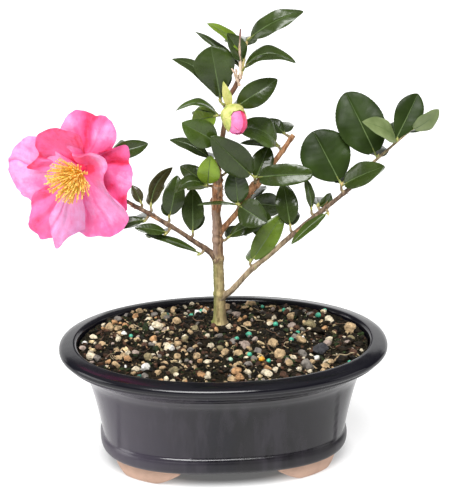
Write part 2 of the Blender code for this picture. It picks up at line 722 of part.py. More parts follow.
def tree_of_object(made):
    """A search tree of a finished object, in millimetres."""
    evaluated = made.evaluated_get(bpy.context.evaluated_depsgraph_get())
    mesh = evaluated.to_mesh()
    points = [made.matrix_world @ v.co / MM for v in mesh.vertices]
    tree = BVHTree.FromPolygons(points, [tuple(p.vertices) for p in mesh.polygons])
    evaluated.to_mesh_clear()
    return tree


def fat_leaf(base, row):
    """A leaf grown on all sides, for the test that it keeps clear of its neighbours."""
    grown = dict(row, width=row["width"] + 2.0, length=row["length"] + 1.5)
    return tree_of(*leaf_mesh(base, grown))


def make_masses(look, solid_trees):
    """Every shoot: first the leaves that show, then their partners behind."""
    draws = random.Random(PARTNER_SEED)
    pieces = {}
    for name, row in SHOOTS.items():
        points, thick = shoot_stem(row)
        stations = [Vector((*point, thick * (1 - 0.15 * k))) for k, point in enumerate(points)]
        pieces[name] = [tube_mesh(stations, 6)]
        for blade in row["leaves"]:
            base = points[1].lerp(points[2], blade["root"])
            pieces[name].append(twig_mesh(base, blade) if "thick" in blade else leaf_mesh(base, blade))
    trees = dict(solid_trees)
    for name, parts in pieces.items():
        for i, part in enumerate(parts):
            trees[f"{name}_{i}"] = tree_of(*part)
    for name, row in SHOOTS.items():
        points, _ = shoot_stem(row)
        for blade in row["leaves"]:
            if not blade["partner"]:
                continue
            base = points[1].lerp(points[2], min(blade["root"], 0.8))
            for _ in range(PARTNER_DRAWS):
                lean = blade["lean"] - blade["partner"] + draws.uniform(-12, 8)
                partner = dict(blade, lean=lean, clock=blade["clock"] + draws.uniform(-7, 7),
                               length=blade["length"] * draws.uniform(0.8, 0.95),
                               width=max(13.0, blade["width"] * 0.8), roll=draws.uniform(-15, 15),
                               facing=Vector((0, 0.65, 0.75)), arch=0.07)
                test = fat_leaf(base, partner)
                near = [key for key, tree in trees.items()
                        if not key.startswith(name + "_") and tree.overlap(test)]
                if not near:
                    part = leaf_mesh(base, partner)
                    pieces[name].append(part)
                    trees[f"{name}_{len(pieces[name])}"] = tree_of(*part)
                    break
    for name, parts in pieces.items():
        smooth(fuse(name, parts, look), 50)


# Bloom: the petals are fans from near the heart to their rims
HEART = Vector((-84.4, 22.2, 184.9))
BLOOM_CLOCK = 225
BLOOM_LEAN = 60
TUFT_START = 6.5
PETAL_THICK = 0.9
PETAL_FOOT = 0.07
LAYER_STEP = 0.25
PETALS = {
    # name: shift across and up from the heart, belly, then the rim as clock, reach and height
    "left": ((0, 0), 2.5, (
        (146, 30, 0), (149, 38, -1), (160, 44, -2), (169, 46.9, -2.5), (175.5, 47.2, -2.5), (183, 46.5, -2.5),
        (190.5, 45.1, -2.5), (199, 42.3, -2), (210, 38.6, -1.5), (222, 34, -1))),
    "upper_left": ((0, 0), -1.5, (
        (80, 13, 5), (92, 19.6, 8), (112, 24.2, 9), (122, 28.6, 9), (134, 31.4, 9), (142, 33.3, 8),
        (152, 31.5, 7.5), (160, 27.8, 7), (170, 30, 7), (177.5, 34, 6), (182, 25, 5))),
    "top": ((0, 0), 1.0, (
        (126, 24, 1), (118, 27.4, 2), (109, 30.4, 2.5), (102, 32.8, 3), (95, 33.9, 3), (86, 33.4, 2),
        (79, 32.8, 0.5), (73.5, 31.6, 0), (68, 33.2, 1.5), (62, 33.7, 3), (53, 32.5, 4), (45.5, 30.5, 4),
        (37, 27.1, 3), (29, 21, 1.5))),
    "right": ((0, 0), -2.5, (
        (40, 14, 4), (35, 18, 5), (30.5, 23.3, 6), (25.5, 30.9, 6), (15, 31.2, 5), (7, 29.1, 3.5),
        (0, 30.6, 5), (-10, 31.7, 6), (-20, 32.5, 5.5), (-28, 32.3, 4.5), (-36, 35, 3), (-42, 37.2, 2),
        (-46, 31, 1))),
    "lower_left": ((-1.2, -5), 1.5, (
        (197, 24, 2), (201, 31.5, 3), (208, 35.3, 2), (213, 37.4, 1), (219, 42.3, 1.5), (223.5, 45.1, 2.5),
        (231, 45.5, 1), (238.5, 45.3, -1), (245, 41.5, -1))),
    "bottom": ((-1.2, -5), 3.0, (
        (228, 22, 3), (231, 30.5, 4), (238.5, 37, 4), (245.5, 42.6, 3), (249.5, 47, 1.5), (252.5, 45.5, 2),
        (255, 41, 2.5), (260, 37, 2.5), (267, 34, 2), (275, 32, 1))),
    "lower_right": ((-1.2, -6), -3.0, (
        (107, 15.5, 5), (88, 13.4, 7), (65, 16, 9), (48, 17.8, 9.5), (32, 18.9, 9.5), (18, 18.1, 9.5),
        (4, 15.4, 9.5), (-12, 15.6, 9.5), (-25, 18.6, 9), (-33, 24.5, 8), (-35, 31, 6.5), (-38, 37.3, 4),
        (-46, 39.6, 2), (-55, 40, 0.5), (-65, 39.6, -0.5), (-75, 36.8, -0.5), (-83, 36.4, 0),
        (-93, 32.3, 1))),
}


def petal_mesh(layer, shift, belly, rim):
    """A closed petal: a fan from the heart to a shifted smooth rim, tilted with the bloom, with a belly."""
    axis = seen(BLOOM_CLOCK, BLOOM_LEAN)
    stations = []
    for clock, reach, height in rim:
        turn = math.radians(clock)
        stations.append((reach * math.cos(turn), reach * math.sin(turn), height))
    columns = 7 + len(rim) // 2
    rows = 6
    top, under = [], []
    for i in range(rows):
        u = PETAL_FOOT + (1.0 - PETAL_FOOT) * i / (rows - 1)
        for x, y, height in spline(stations, columns):
            across, up = shift[0] * u ** 0.5 + x * u, shift[1] * u ** 0.5 + y * u
            tilt = -(axis.dot(ACROSS) * across + axis.dot(UPWARD) * up) / axis.dot(TOWARD)
            lift = LAYER_STEP * layer + height * u ** 1.6 + 4.0 * belly * u * (1.0 - u)
            point = HEART + ACROSS * across + UPWARD * up + TOWARD * (tilt + lift)
            top.append(point + axis * (PETAL_THICK / 2))
            under.append(point - axis * (PETAL_THICK / 2))
    return slab(top, under, rows, columns)


def slab(top, under, rows, columns):
    """Close two grids of points into one thin solid."""
    size = rows * columns
    faces = []
    for i in range(rows - 1):
        for j in range(columns - 1):
            a = i * columns + j
            faces.append((a, a + 1, a + columns + 1, a + columns))
            faces.append((size + a, size + a + columns, size + a + columns + 1, size + a + 1))
    border = [j for j in range(columns)]
    border += [i * columns + columns - 1 for i in range(1, rows)]
    border += [(rows - 1) * columns + j for j in range(columns - 2, -1, -1)]
    border += [i * columns for i in range(rows - 2, 0, -1)]
    for a, b in zip(border, border[1:] + border[:1]):
        faces.append((a, size + a, size + b, b))
    return top + under, faces


def lathe_mesh(origin, axis, profile, sides):
    """A turned solid along an axis; the profile holds distance along it and radius."""
    side_axis = axis.orthogonal().normalized()
    other = axis.cross(side_axis)
    rings = []
    for along, radius in profile:
        ring = []
        for k in range(sides):
            turn = 2 * math.pi * k / sides
            spoke = side_axis * math.cos(turn) + other * math.sin(turn)
            ring.append(origin + axis * along + spoke * radius)
        rings.append(ring)
    return loft(rings)


def make_bloom(petal_look, stamen_look):
    """The open flower on its stalk, and the tuft of stamens before it."""
    axis = seen(BLOOM_CLOCK, BLOOM_LEAN)
    tip = Vector(LEFT_LINE[-1][:3])
    run = (tip - Vector(LEFT_LINE[-2][:3])).normalized()
    stalk_start = tip + run * (GAP + 0.05)
    stalk = [Vector((*stalk_start, 1.1)), Vector((*(stalk_start + run * 1.5), 1.2)),
             Vector((*(HEART - axis * 5.0), 1.6)), Vector((*HEART, 2.0))]
    receptacle = ((1.5, 2.6), (3.5, 1.8), (TUFT_START - GAP, 1.6))
    cup = lathe_mesh(HEART, axis, ((-6.5, 1.5), (-5.0, 4.0), (-3.0, 5.4), (-0.5, 4.6), *receptacle), 12)
    pieces = [cup, tube_mesh(stalk, 8)]
    for layer, row in enumerate(PETALS.values()):
        pieces.append(petal_mesh(layer, *row))
    smooth(fuse("bloom", pieces, petal_look, "MANIFOLD"), 50)
    draws = random.Random(5)
    foot = HEART + axis * TUFT_START
    tuft = [lathe_mesh(foot, axis, ((0.0, 1.2), (2.0, 2.2), (7.0, 3.2), (12.0, 4.0), (14.0, 2.0)), 10)]
    filaments = 24
    golden = math.pi * (3 - math.sqrt(5))
    side_axis = axis.orthogonal().normalized()
    other = axis.cross(side_axis)
    for k in range(filaments):
        spread = math.radians(12 + 34 * math.sqrt((k + 0.5) / filaments))
        spoke = side_axis * math.cos(golden * k) + other * math.sin(golden * k)
        way = axis * math.cos(spread) + spoke * math.sin(spread)
        start = foot + axis * 3.0 + spoke * 1.2
        end = start + way * draws.uniform(16.0, 19.5)
        near_end = start.lerp(end, 0.93)
        tuft.append(tube_mesh([Vector((*start, 0.5)), Vector((*near_end, 0.35)), Vector((*end, 0.8))], 3))
    fuse("stamens", tuft, stamen_look)


# Bud
BUD_TOP = Vector((4.4, 11.5, 226.0))
BUD_ALONG = 0.88
BUD_CLOCK = -70
BUD_LEAN = 12


def make_bud(bud_look, cup_look):
    """The half open bud that hangs before the leader, its green cup and its bract."""
    axis = seen(BUD_CLOCK, BUD_LEAN)
    start, away, _ = limb_exit("trunk", BUD_ALONG, TOWARD)
    stalk = [Vector((*start, 0.9)), Vector((*(start + away), 0.9)),
             Vector((*start.lerp(BUD_TOP, 0.6), 1.2)), Vector((*(BUD_TOP + axis), 1.6))]
    cup = lathe_mesh(BUD_TOP, axis, ((0.0, 1.6), (1.5, 5.0), (4.0, 7.0), (7.0, 7.4), (7.8, 6.6)), 14)
    bract = leaf_mesh(BUD_TOP, leaf(0, 105, 20, 15, 6))
    fuse("bud_cup", [cup, tube_mesh(stalk, 8), bract], cup_look)
    profile = ((7.8 + GAP, 6.6), (10.0, 6.9), (13.5, 6.4), (16.8, 4.6), (18.9, 1.6))
    smooth(add_object("bud", *lathe_mesh(BUD_TOP, axis, profile, 14), bud_look), 50)


def main():
    """Build every named object."""
    clear_scene()
    glaze = material("glaze", (0.018, 0.016, 0.028), 0.18)
    clay = material("clay", (0.58, 0.36, 0.25), 0.8)
    grit = material("soil", (0.09, 0.06, 0.045), 0.95)
    bark = material("bark", (0.24, 0.16, 0.09), 0.85)
    green = material("leaf", (0.055, 0.13, 0.03), 0.35)
    pink = material("petal", (0.9, 0.12, 0.38), 0.6)
    gold = material("stamen", (0.95, 0.55, 0.06), 0.7)
    sepal = material("sepal", (0.45, 0.5, 0.12), 0.6)
    make_pot(glaze)
    make_feet(clay)
    make_soil(grit)
    trunk = make_limb("trunk", TRUNK_LINE, 22, 10, bark)
    clearance = make_clearance(TRUNK_LINE, 22)
    limbs = [trunk]
    for name, line, count in (("bough_right", RIGHT_LINE, 18), ("bough_left", LEFT_LINE, 15),
                              ("bough_middle", MIDDLE_LINE, 13)):
        limbs.append(make_limb(name, line, count, 8, bark, clearance))
    make_bloom(pink, gold)
    make_bud(pink, sepal)
    others = ("bloom", "stamens", "bud", "bud_cup", "soil", "pot")
    solids = limbs + [bpy.data.objects[name] for name in others]
    make_masses(green, {made.name: tree_of_object(made) for made in solids})


main()
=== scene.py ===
"""Camellia bonsai: the looks of a small flowering camellia in an oval glazed pot.

Metres and +Z up in Blender. The shapes are worked out in millimetres, in the frame's own
place, and scaled when their mesh is made. The viewer stands before the pot, towards -Y.
"""

import math
import random

import bpy
import numpy as np
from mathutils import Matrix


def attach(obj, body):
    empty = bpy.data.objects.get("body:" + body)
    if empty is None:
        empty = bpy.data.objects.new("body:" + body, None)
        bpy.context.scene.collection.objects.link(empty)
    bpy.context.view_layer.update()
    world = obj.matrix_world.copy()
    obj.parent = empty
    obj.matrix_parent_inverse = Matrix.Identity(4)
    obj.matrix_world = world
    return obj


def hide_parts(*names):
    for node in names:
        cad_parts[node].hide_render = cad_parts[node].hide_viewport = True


bl_info = {
    "name": "Camellia Bonsai",
    "version": (1, 0, 0),
    "blender": (4, 5, 0),
    "location": "3D View > Sidebar > Camellia",
    "description": "Builds the pot, the soil, the limbs, the leaves and the bloom of a small camellia bonsai",
    "category": "Add Mesh",
}

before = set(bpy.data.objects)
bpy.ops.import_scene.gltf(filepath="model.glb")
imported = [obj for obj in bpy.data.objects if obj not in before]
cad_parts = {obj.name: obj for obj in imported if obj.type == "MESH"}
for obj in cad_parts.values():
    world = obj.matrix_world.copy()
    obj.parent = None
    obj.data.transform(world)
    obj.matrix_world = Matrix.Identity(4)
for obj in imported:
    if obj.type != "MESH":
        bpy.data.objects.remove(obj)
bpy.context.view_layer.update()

MM = 0.001
ROOT = "root"

# The photograph's camera, as fitted to the pot and the trunk
IMAGE_WIDTH, IMAGE_HEIGHT = 449, 496
FOCAL_PIXELS = 1967.0
PRINCIPAL_X, PRINCIPAL_Y = 223.6, 261.2
VIEW_DISTANCE = 1.2
VIEW_TARGET = (0.0, 0.0, 0.13)
SENSOR = 36.0

# The front view's directions, by which leaves and petals are placed
VIEW_TURN = math.radians(-4.5)
VIEW_RISE = math.radians(22.4)
TOWARD = np.array([math.sin(VIEW_TURN) * math.cos(VIEW_RISE),
                   -math.cos(VIEW_TURN) * math.cos(VIEW_RISE), math.sin(VIEW_RISE)])
ACROSS = np.array([math.cos(VIEW_TURN), math.sin(VIEW_TURN), 0.0])
UPWARD = np.cross(TOWARD, ACROSS)

# Pot and soil, in millimetres
RIM_HALF_LENGTH = 101.6
RIM_HALF_DEPTH = 71.1
RIM_TOP = 77.4
WALL = 6.0
UNDERSIDE = 10.3
FLOOR_TOP = 15.0
PANEL_HALF_LENGTH = 67.0
PANEL_RECESS = 1.4
PANEL_FOOT = 21.0
PANEL_TOP = 60.0
NECK_FOOT, NECK_TOP = 54.0, 70.0
SPLINE_PARTS = 8
DEPTH_RATIO = 0.78
DRAIN_RADIUS = 7.0
DRAIN_PLACE = 34.0
DRAIN_DEPTH = 3.4
SOIL_EDGE = 74.5
SOIL_BACK_RISE = 1.8
SOIL_CROWN = 79.3
SOIL_CLEARANCE = 0.5
TRUNK_PLACE = np.array([-0.7, 22.0])
FOOT_PATCH = 8.0
GAP = 0.3
MOUTH_DIFFERENCE = 30.9
LATHE_HINT = (0.2, 0.9, 0.4)

# Leaves and bloom
STEM_RADIUS = 1.0
STALK_SHARE = 0.07
PARTNER_SEED = 41
PARTNER_DRAWS = 10
HEART = np.array([-84.4, 22.2, 184.9])
BLOOM_CLOCK, BLOOM_LEAN = 225, 60
TUFT_START = 6.5
PETAL_FOOT = 0.07
LAYER_STEP = 0.25
BUD_TOP = np.array([4.4, 11.5, 226.0])
BUD_ALONG, BUD_CLOCK, BUD_LEAN = 0.88, -70, 12

# Limbs: a few stations each, as x, y, z and radius
LIMB_LINES = {
    "trunk": (
        (-0.7, 22, SOIL_CROWN + GAP, 4.9), (-0.7, 22, 82.5, 4), (-0.9, 22, 98, 3.5),
        (-1.6, 22, 120.5, 3.3), (-2.1, 21.5, 142, 3), (-2.9, 21, 155.5, 2.9),
        (-2.2, 21, 168.5, 3.1), (-1.8, 20.5, 178, 2.2), (-1.4, 20, 187, 1.7),
        (1.2, 20, 205, 1.5), (4.2, 20, 226, 1.4), (8.5, 20, 234.5, 1.5), (11.4, 19.5, 241.5, 1.2)),
    "right": (
        (-0.5, 21.5, 97, 2), (5.5, 19, 101.5, 1.9), (10, 17.5, 107, 1.7),
        (18.2, 15, 117.5, 1.65), (30, 13, 128.5, 1.55), (42, 11, 140.5, 1.5),
        (54.7, 9, 152.5, 1.4), (64.5, 8, 161, 1.35), (72, 7, 167.8, 1.3), (81.8, 7, 176.5, 1.2),
        (86.5, 7, 183.5, 1.1)),
    "left": (
        (-2, 21.5, 122.5, 2.1), (-7.4, 22, 128, 1.7), (-16, 22.5, 134.2, 1.5),
        (-24.6, 23, 140.6, 1.4), (-32.2, 23.5, 145.6, 1.35), (-41.7, 24.5, 151.6, 1.3),
        (-50.2, 26, 156.4, 1.2), (-58.7, 29.5, 160.5, 1.15), (-68, 32, 167, 1.1),
        (-75.5, 31, 173.5, 1.1)),
    "middle": (
        (-1.6, 21.5, 140, 2), (4.5, 22, 146.4, 1.7), (11.3, 23, 154.4, 1.6),
        (14.9, 24, 161.8, 1.8), (20.2, 25.5, 168.3, 2.4), (24.6, 27, 171.5, 1.9),
        (31, 30, 178.8, 1.6), (39.3, 33, 189.2, 1.5), (46, 36, 197.8, 1.4)),
}


# Numbers and arrays
def smoothstep(low, high, value):
    """A rise from 0 at low to 1 at high, level at both ends."""
    part = np.clip((value - low) / (high - low), 0.0, 1.0)
    return part * part * (3.0 - 2.0 * part)


def unit(vectors):
    """Each vector divided by its length."""
    return vectors / np.linalg.norm(vectors, axis=-1, keepdims=True)


def bump(value, middle, width):
    """A bell: 1 at the middle, falling off over the width."""
    return np.exp(-((value - middle) / width) ** 2)


def seen(clock, lean):
    """The direction that shows at a clock angle and leans towards the viewer."""
    turn, rise = math.radians(clock), math.radians(lean)
    flat = ACROSS * math.cos(turn) + UPWARD * math.sin(turn)
    return flat * math.cos(rise) + TOWARD * math.sin(rise)


def turned(vector, axis, angle):
    """A vector turned about an axis by an angle in radians, or by a row of angles."""
    angle = np.asarray(angle)[..., None]
    along = axis * np.dot(vector, axis)
    return along + (vector - along) * np.cos(angle) + np.cross(axis, vector) * np.sin(angle)


def evenly(count):
    """Even steps from 0 to 1."""
    return np.linspace(0.0, 1.0, count)


def circle(count):
    """Even turns once round."""
    return np.linspace(0.0, 2 * np.pi, count, endpoint=False)


def axes_of(run, hint):
    """Two directions square to a run, the first of them square to a hint too."""
    side = unit(np.cross(run, hint))
    return side, np.cross(run, side)


def spokes(side, other, turn):
    """The ways out from an axis at each turn between two directions square to it."""
    turn = turn[..., None]
    return side * np.cos(turn) + other * np.sin(turn)


def chance(cells, seed):
    """A number from 0 to 1 for each whole-numbered cell, always the same for the same seed."""
    mixed = cells[..., 0] * 73856093 ^ cells[..., 1] * 19349663 ^ cells[..., 2] * 83492791 ^ seed * 6971
    mixed = (mixed ^ (mixed >> 13)) * 1274126177 & 0xFFFFFFFF
    mixed = (mixed ^ (mixed >> 16)) * 1103515245 & 0xFFFFFFFF
    return (mixed ^ (mixed >> 15) & 0xFFFF) / 0xFFFFFFFF


def grain(points, size, seed):
    """Lattice noise from -1 to 1: a chance number at each corner of a cube, blended across the cube."""
    place = points / size
    cell = np.floor(place).astype(np.int64)
    part = place - cell
    part = part * part * (3.0 - 2.0 * part)
    total = np.zeros(points.shape[:-1])
    for corner in np.ndindex(2, 2, 2):
        weight = np.prod(np.where(corner, part, 1.0 - part), axis=-1)
        total += weight * chance(cell + np.array(corner), seed)
    return 2.0 * total - 1.0


def grid_steps(rows, columns):
    """The steps of a grid: from 0 to 1 down its rows and from -1 to 1 over its columns."""
    return evenly(rows)[:, None], np.linspace(-1.0, 1.0, columns)[None]


# Grids and meshes
def grid_faces(rows, columns, closed=False):
    """Quads between neighbours on a grid that is counted row by row, its columns closed to a ring or not."""
    down = np.arange(rows - 1)
    over = np.arange(columns if closed else columns - 1)
    r, c = np.meshgrid(down, over, indexing="ij")
    c2 = (c + 1) % columns
    corners = [r * columns + c, r * columns + c2, (r + 1) * columns + c2, (r + 1) * columns + c]
    return np.stack(corners, -1).reshape(-1, 4)


def slab_faces(rows, columns):
    """Quads of a thin plate: its upper grid, its under grid and the band round its edge."""
    size = rows * columns
    upper = grid_faces(rows, columns)
    number = np.arange(size).reshape(rows, columns)
    edge = np.concatenate([number[0], number[1:, -1], number[-1, -2::-1], number[-2:0:-1, 0]])
    after = np.roll(edge, -1)
    band = np.stack([edge, edge + size, after + size, after], -1)
    return upper, upper[:, ::-1] + size, band


def end_fans(rows, columns):
    """Triangles that close a tube at its two ends, round two points that are counted after its rings."""
    edge = np.arange(columns)
    after = (edge + 1) % columns
    last = (rows - 1) * columns
    foot = np.stack([after, edge, np.full(columns, rows * columns)], -1)
    head = np.stack([edge + last, after + last, np.full(columns, rows * columns + 1)], -1)
    return foot, head


def volume(points, faces):
    """Six times the volume inside the faces."""
    first = points[faces[:, 0]]
    total = 0.0
    for k in range(1, faces.shape[1] - 1):
        total += np.einsum("ij,ij->", first, np.cross(points[faces[:, k]], points[faces[:, k + 1]]))
    return total


class Heap:
    """Closed surfaces gathered into the arrays of one mesh."""

    def __init__(self):
        self.points, self.values, self.places = [], [], []
        self.corners, self.sides, self.slots = [], [], []
        self.count = 0

    def add(self, points, groups, values=0.0, places=None):
        """Adds a closed surface; each group is its faces and the material slot they wear."""
        points = points.reshape(-1, 3)
        inside_out = sum(volume(points, faces) for faces, _ in groups) < 0
        for faces, slot in groups:
            faces = faces[:, ::-1] if inside_out else faces
            self.corners.append((faces + self.count).ravel())
            self.sides.append(np.full(len(faces), faces.shape[1]))
            self.slots.append(np.broadcast_to(slot, len(faces)))
        self.points.append(points)
        self.values.append(np.broadcast_to(values, len(points)))
        self.places.append(np.zeros((len(points), 2)) if places is None else places.reshape(-1, 2))
        self.count += len(points)

    def place(self, name, looks, sharp, slot, *nodes, value_name=None):
        """Makes the piece: shaded smooth, with edges above the sharp angle kept.

        It rides on the plant's one body and stands for its nodes; its slot is not used.
        """
        corners = np.concatenate(self.corners).astype(np.int32)
        sides = np.concatenate(self.sides)
        points = np.concatenate(self.points) * MM
        mesh = bpy.data.meshes.new(name)
        mesh.vertices.add(len(points))
        mesh.vertices.foreach_set("co", points.astype(np.float32).ravel())
        mesh.loops.add(len(corners))
        mesh.loops.foreach_set("vertex_index", corners)
        mesh.polygons.add(len(sides))
        mesh.polygons.foreach_set("loop_start", (np.cumsum(sides) - sides).astype(np.int32))
        mesh.update(calc_edges=True)
        for look in looks:
            mesh.materials.append(look)
        mesh.polygons.foreach_set("material_index", np.concatenate(self.slots).astype(np.int32))
        if value_name:
            layer = mesh.attributes.new(value_name, "FLOAT", "POINT")
            layer.data.foreach_set("value", np.concatenate(self.values).astype(np.float32))
            own_map = mesh.uv_layers.new(name="surface")
            own_map.uv.foreach_set("vector", np.concatenate(self.places)[corners].astype(np.float32).ravel())
        mesh.validate()
        mesh.shade_smooth()
        mesh.set_sharp_from_angle(angle=math.radians(sharp))
        made = put(name, mesh)
        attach(made, ROOT)
        if nodes:
            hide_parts(*nodes)


def put(name, data):
    """A new object of the scene that holds this mesh, lamp or camera."""
    made = bpy.data.objects.new(name, data)
    bpy.context.scene.collection.objects.link(made)
    return made


def capped(heap, rings, slot=0, value=0.0):
    """Adds a tube from its rings of points, with a middle point that closes each end.

    The slot is one for the whole tube or one for each step along it.
    """
    count, sides = rings.shape[:2]
    points = np.concatenate([rings.reshape(-1, 3), [rings[0].mean(0), rings[-1].mean(0)]])
    foot, head = end_fans(count, sides)
    steps = np.broadcast_to(slot, count - 1)
    skin = grid_faces(count, sides, closed=True)
    heap.add(points, ((skin, np.repeat(steps, sides)), (foot, steps[0]), (head, steps[-1])), value)


def add_slab(heap, upper, under, slots, values=0.0, places=None):
    """Adds a thin closed plate from the grids of its two sides; the slots: its top's, underside's, edge's."""
    points = np.concatenate([upper.reshape(-1, 3), under.reshape(-1, 3)])
    heap.add(points, tuple(zip(slab_faces(*upper.shape[:2]), slots)), values, places)


def tube_rings(line, radii, sides, hint=(0.3, 1.0, 0.2)):
    """Rings round a line: at each station a circle of its radius, square to the line's run."""
    run = unit(np.gradient(line, axis=0))
    side, other = axes_of(run, hint)
    radii = np.asarray(radii)
    reach = radii[:, None, None] if radii.ndim == 1 else radii[..., None]
    return line[:, None] + spokes(side[:, None], other[:, None], circle(sides)) * reach


def lathe_rings(origin, axis, heights, radii, sides):
    """Rings of a turned shape: at each height along the axis a circle of its radius."""
    ways = spokes(*axes_of(axis, LATHE_HINT), circle(sides))
    return origin + axis * np.asarray(heights)[:, None, None] + ways * np.asarray(radii)[:, None, None]


# Materials
SOCKETS = {"depth": "Subsurface Weight", "depth_size": "Subsurface Scale", "depth_reach": "Subsurface Radius",
           "shine": "Specular IOR Level", "index": "IOR"}


def finish(name, colour, roughness, **sockets):
    """A Principled material whose plain values stand on the shader's own sockets."""
    look = bpy.data.materials.new(name)
    look.use_nodes = True
    shader = look.node_tree.nodes["Principled BSDF"]
    shader.inputs["Base Color"].default_value = (*colour[:3], 1.0)
    shader.inputs["Roughness"].default_value = roughness
    for key, value in sockets.items():
        shader.inputs[SOCKETS[key]].default_value = value
    return look


def node_of(look, kind, inputs=None, **settings):
    """A node with its settings and its plain input values."""
    node = look.node_tree.nodes.new("ShaderNode" + kind)
    for key, value in settings.items():
        setattr(node, key, value)
    for key, value in (inputs or {}).items():
        node.inputs[key].default_value = value
    return node


def join(look, source, socket):
    """A link in the material from one socket to another."""
    look.node_tree.links.new(source, socket)


def coords_of(look):
    """The piece's own coordinates X, Y and Z, each by itself."""
    parts = node_of(look, "SeparateXYZ")
    join(look, node_of(look, "TexCoord").outputs["Object"], parts.inputs["Vector"])
    return parts.outputs


def noise_of(look, scale, stretch=(1, 1, 1), detail=3.0, roughness=0.55, coords="Object"):
    """Noise on the piece's own coordinates, stretched along the axes."""
    mapping = node_of(look, "Mapping", {"Scale": stretch})
    join(look, node_of(look, "TexCoord").outputs[coords], mapping.inputs["Vector"])
    noise = node_of(look, "TexNoise", {"Scale": scale, "Detail": detail, "Roughness": roughness})
    join(look, mapping.outputs["Vector"], noise.inputs["Vector"])
    return noise.outputs["Fac"]


def spread(marks, stops):
    """Sets a ramp's marks, as many as the stops: each stop is its place and its colour."""
    while len(marks) < len(stops):
        marks.new(0.5)
    for mark, (place, colour) in zip(marks, stops):
        mark.position = place
        mark.color = (*colour[:3], 1.0)


def ramp_of(look, value, stops):
    """Colours along a value."""
    ramp = node_of(look, "ValToRGB")
    spread(ramp.color_ramp.elements, stops)
    join(look, value, ramp.inputs["Fac"])
    return ramp.outputs["Color"]


def mix_of(look, factor, first, second):
    """Two colours mixed by a value."""
    mix = node_of(look, "Mix", data_type="RGBA")
    join(look, factor, mix.inputs[0])
    for colour, socket in ((first, mix.inputs[6]), (second, mix.inputs[7])):
        if isinstance(colour, tuple):
            socket.default_value = (*colour[:3], 1.0)
        else:
            join(look, colour, socket)
    return mix.outputs[2]


def range_of(look, value, low, high, to_low=0.0, to_high=1.0):
    """A value carried from one range to another, kept inside it."""
    node = node_of(look, "MapRange", {"From Min": low, "From Max": high, "To Min": to_low, "To Max": to_high})
    join(look, value, node.inputs["Value"])
    return node.outputs["Result"]


def wear(look, colour, roughness=None, relief=None, height=0.0002, strength=1.0):
    """Links a colour, a roughness and a relief to the shader."""
    shader = look.node_tree.nodes["Principled BSDF"]
    for source, socket in ((colour, "Base Color"), (roughness, "Roughness")):
        if source is not None:
            join(look, source, shader.inputs[socket])
    if relief is not None:
        node = node_of(look, "Bump", {"Distance": height, "Strength": strength})
        join(look, relief, node.inputs["Height"])
        join(look, node.outputs["Normal"], shader.inputs["Normal"])
    return look


def tinted(colour, factor):
    """A colour made lighter or darker."""
    return tuple(min(1.0, part * factor) for part in colour[:3])


def mottled(name, colour, roughness, scale, stops, stretch=(1, 1, 1), detail=3.0, fine=0.55, **sockets):
    """A finish in shades along a noise; a stop is a place and a colour or a tint of the finish's colour."""
    look = finish(name, colour, roughness, **sockets)
    stops = [(place, tinted(colour, shade) if isinstance(shade, float) else shade) for place, shade in stops]
    return wear(look, ramp_of(look, noise_of(look, scale, stretch, detail, fine), stops))


# Pot
def oval_exponent(height):
    """The body is squarer at its foot than at its rim."""
    share = np.clip((height - UNDERSIDE) / (RIM_TOP - UNDERSIDE), 0.0, 1.0)
    return 2.56 - 0.44 * share


def even_angles(count):
    """Angles whose points lie about evenly round the pot's oval."""
    angle = np.linspace(0.0, np.pi / 2, 400)
    power = 2 / 2.3
    x, y = 87 * np.cos(angle).clip(0) ** power, 57 * np.sin(angle).clip(0) ** power
    run = np.concatenate([[0.0], np.cumsum(np.hypot(np.diff(x), np.diff(y)))])
    quarter = np.interp(np.linspace(0, run[-1], count // 4 + 1), run, angle)[:-1]
    return np.concatenate([quarter + k * np.pi / 2 if k % 2 == 0 else
                           (k + 1) * np.pi / 2 - np.append(quarter[1:], np.pi / 2)[::-1] for k in range(4)])


def oval(half_length, half_depth, height, angles):
    """Superellipse rings: x and y are powers of the angle's cosine and sine."""
    power = 2 / oval_exponent(height)
    cos, sin = np.cos(angles), np.sin(angles)
    x = half_length * np.sign(cos) * np.abs(cos) ** power
    y = half_depth * np.sign(sin) * np.abs(sin) ** power
    return np.stack([x, y, np.broadcast_to(height, x.shape)], -1)


def body_half_depth(half_length):
    """Half depth of the body that goes with a half length."""
    return RIM_HALF_DEPTH - DEPTH_RATIO * (RIM_HALF_LENGTH - half_length)


def inner_half_depth(half_length):
    """Half depth inside the wall that goes with a half length inside it."""
    return body_half_depth(half_length + WALL) - WALL


def spline(line, count):
    """Even steps along a smooth curve through stations: a cubic between each two, set by its neighbours."""
    rows = np.asarray(line, float)
    rows = np.concatenate([[2 * rows[0] - rows[1]], rows, [2 * rows[-1] - rows[-2]]])
    a, b, c, d = (rows[k:len(rows) - 3 + k, None] for k in range(4))
    t = (np.arange(SPLINE_PARTS) / SPLINE_PARTS)[None, :, None]
    square = (2 * a - 5 * b + 4 * c - d) * t ** 2
    fine = 0.5 * (2 * b + (c - a) * t + square + (3 * b - a - 3 * c + d) * t ** 3)
    fine = np.concatenate([fine.reshape(-1, rows.shape[1]), rows[-2:-1]])
    marks = np.concatenate([[0.0], np.cumsum(np.linalg.norm(np.diff(fine, axis=0), axis=1))])
    steps = np.linspace(0.0, marks[-1], count)
    return np.stack([np.interp(steps, marks, column) for column in fine.T], -1)


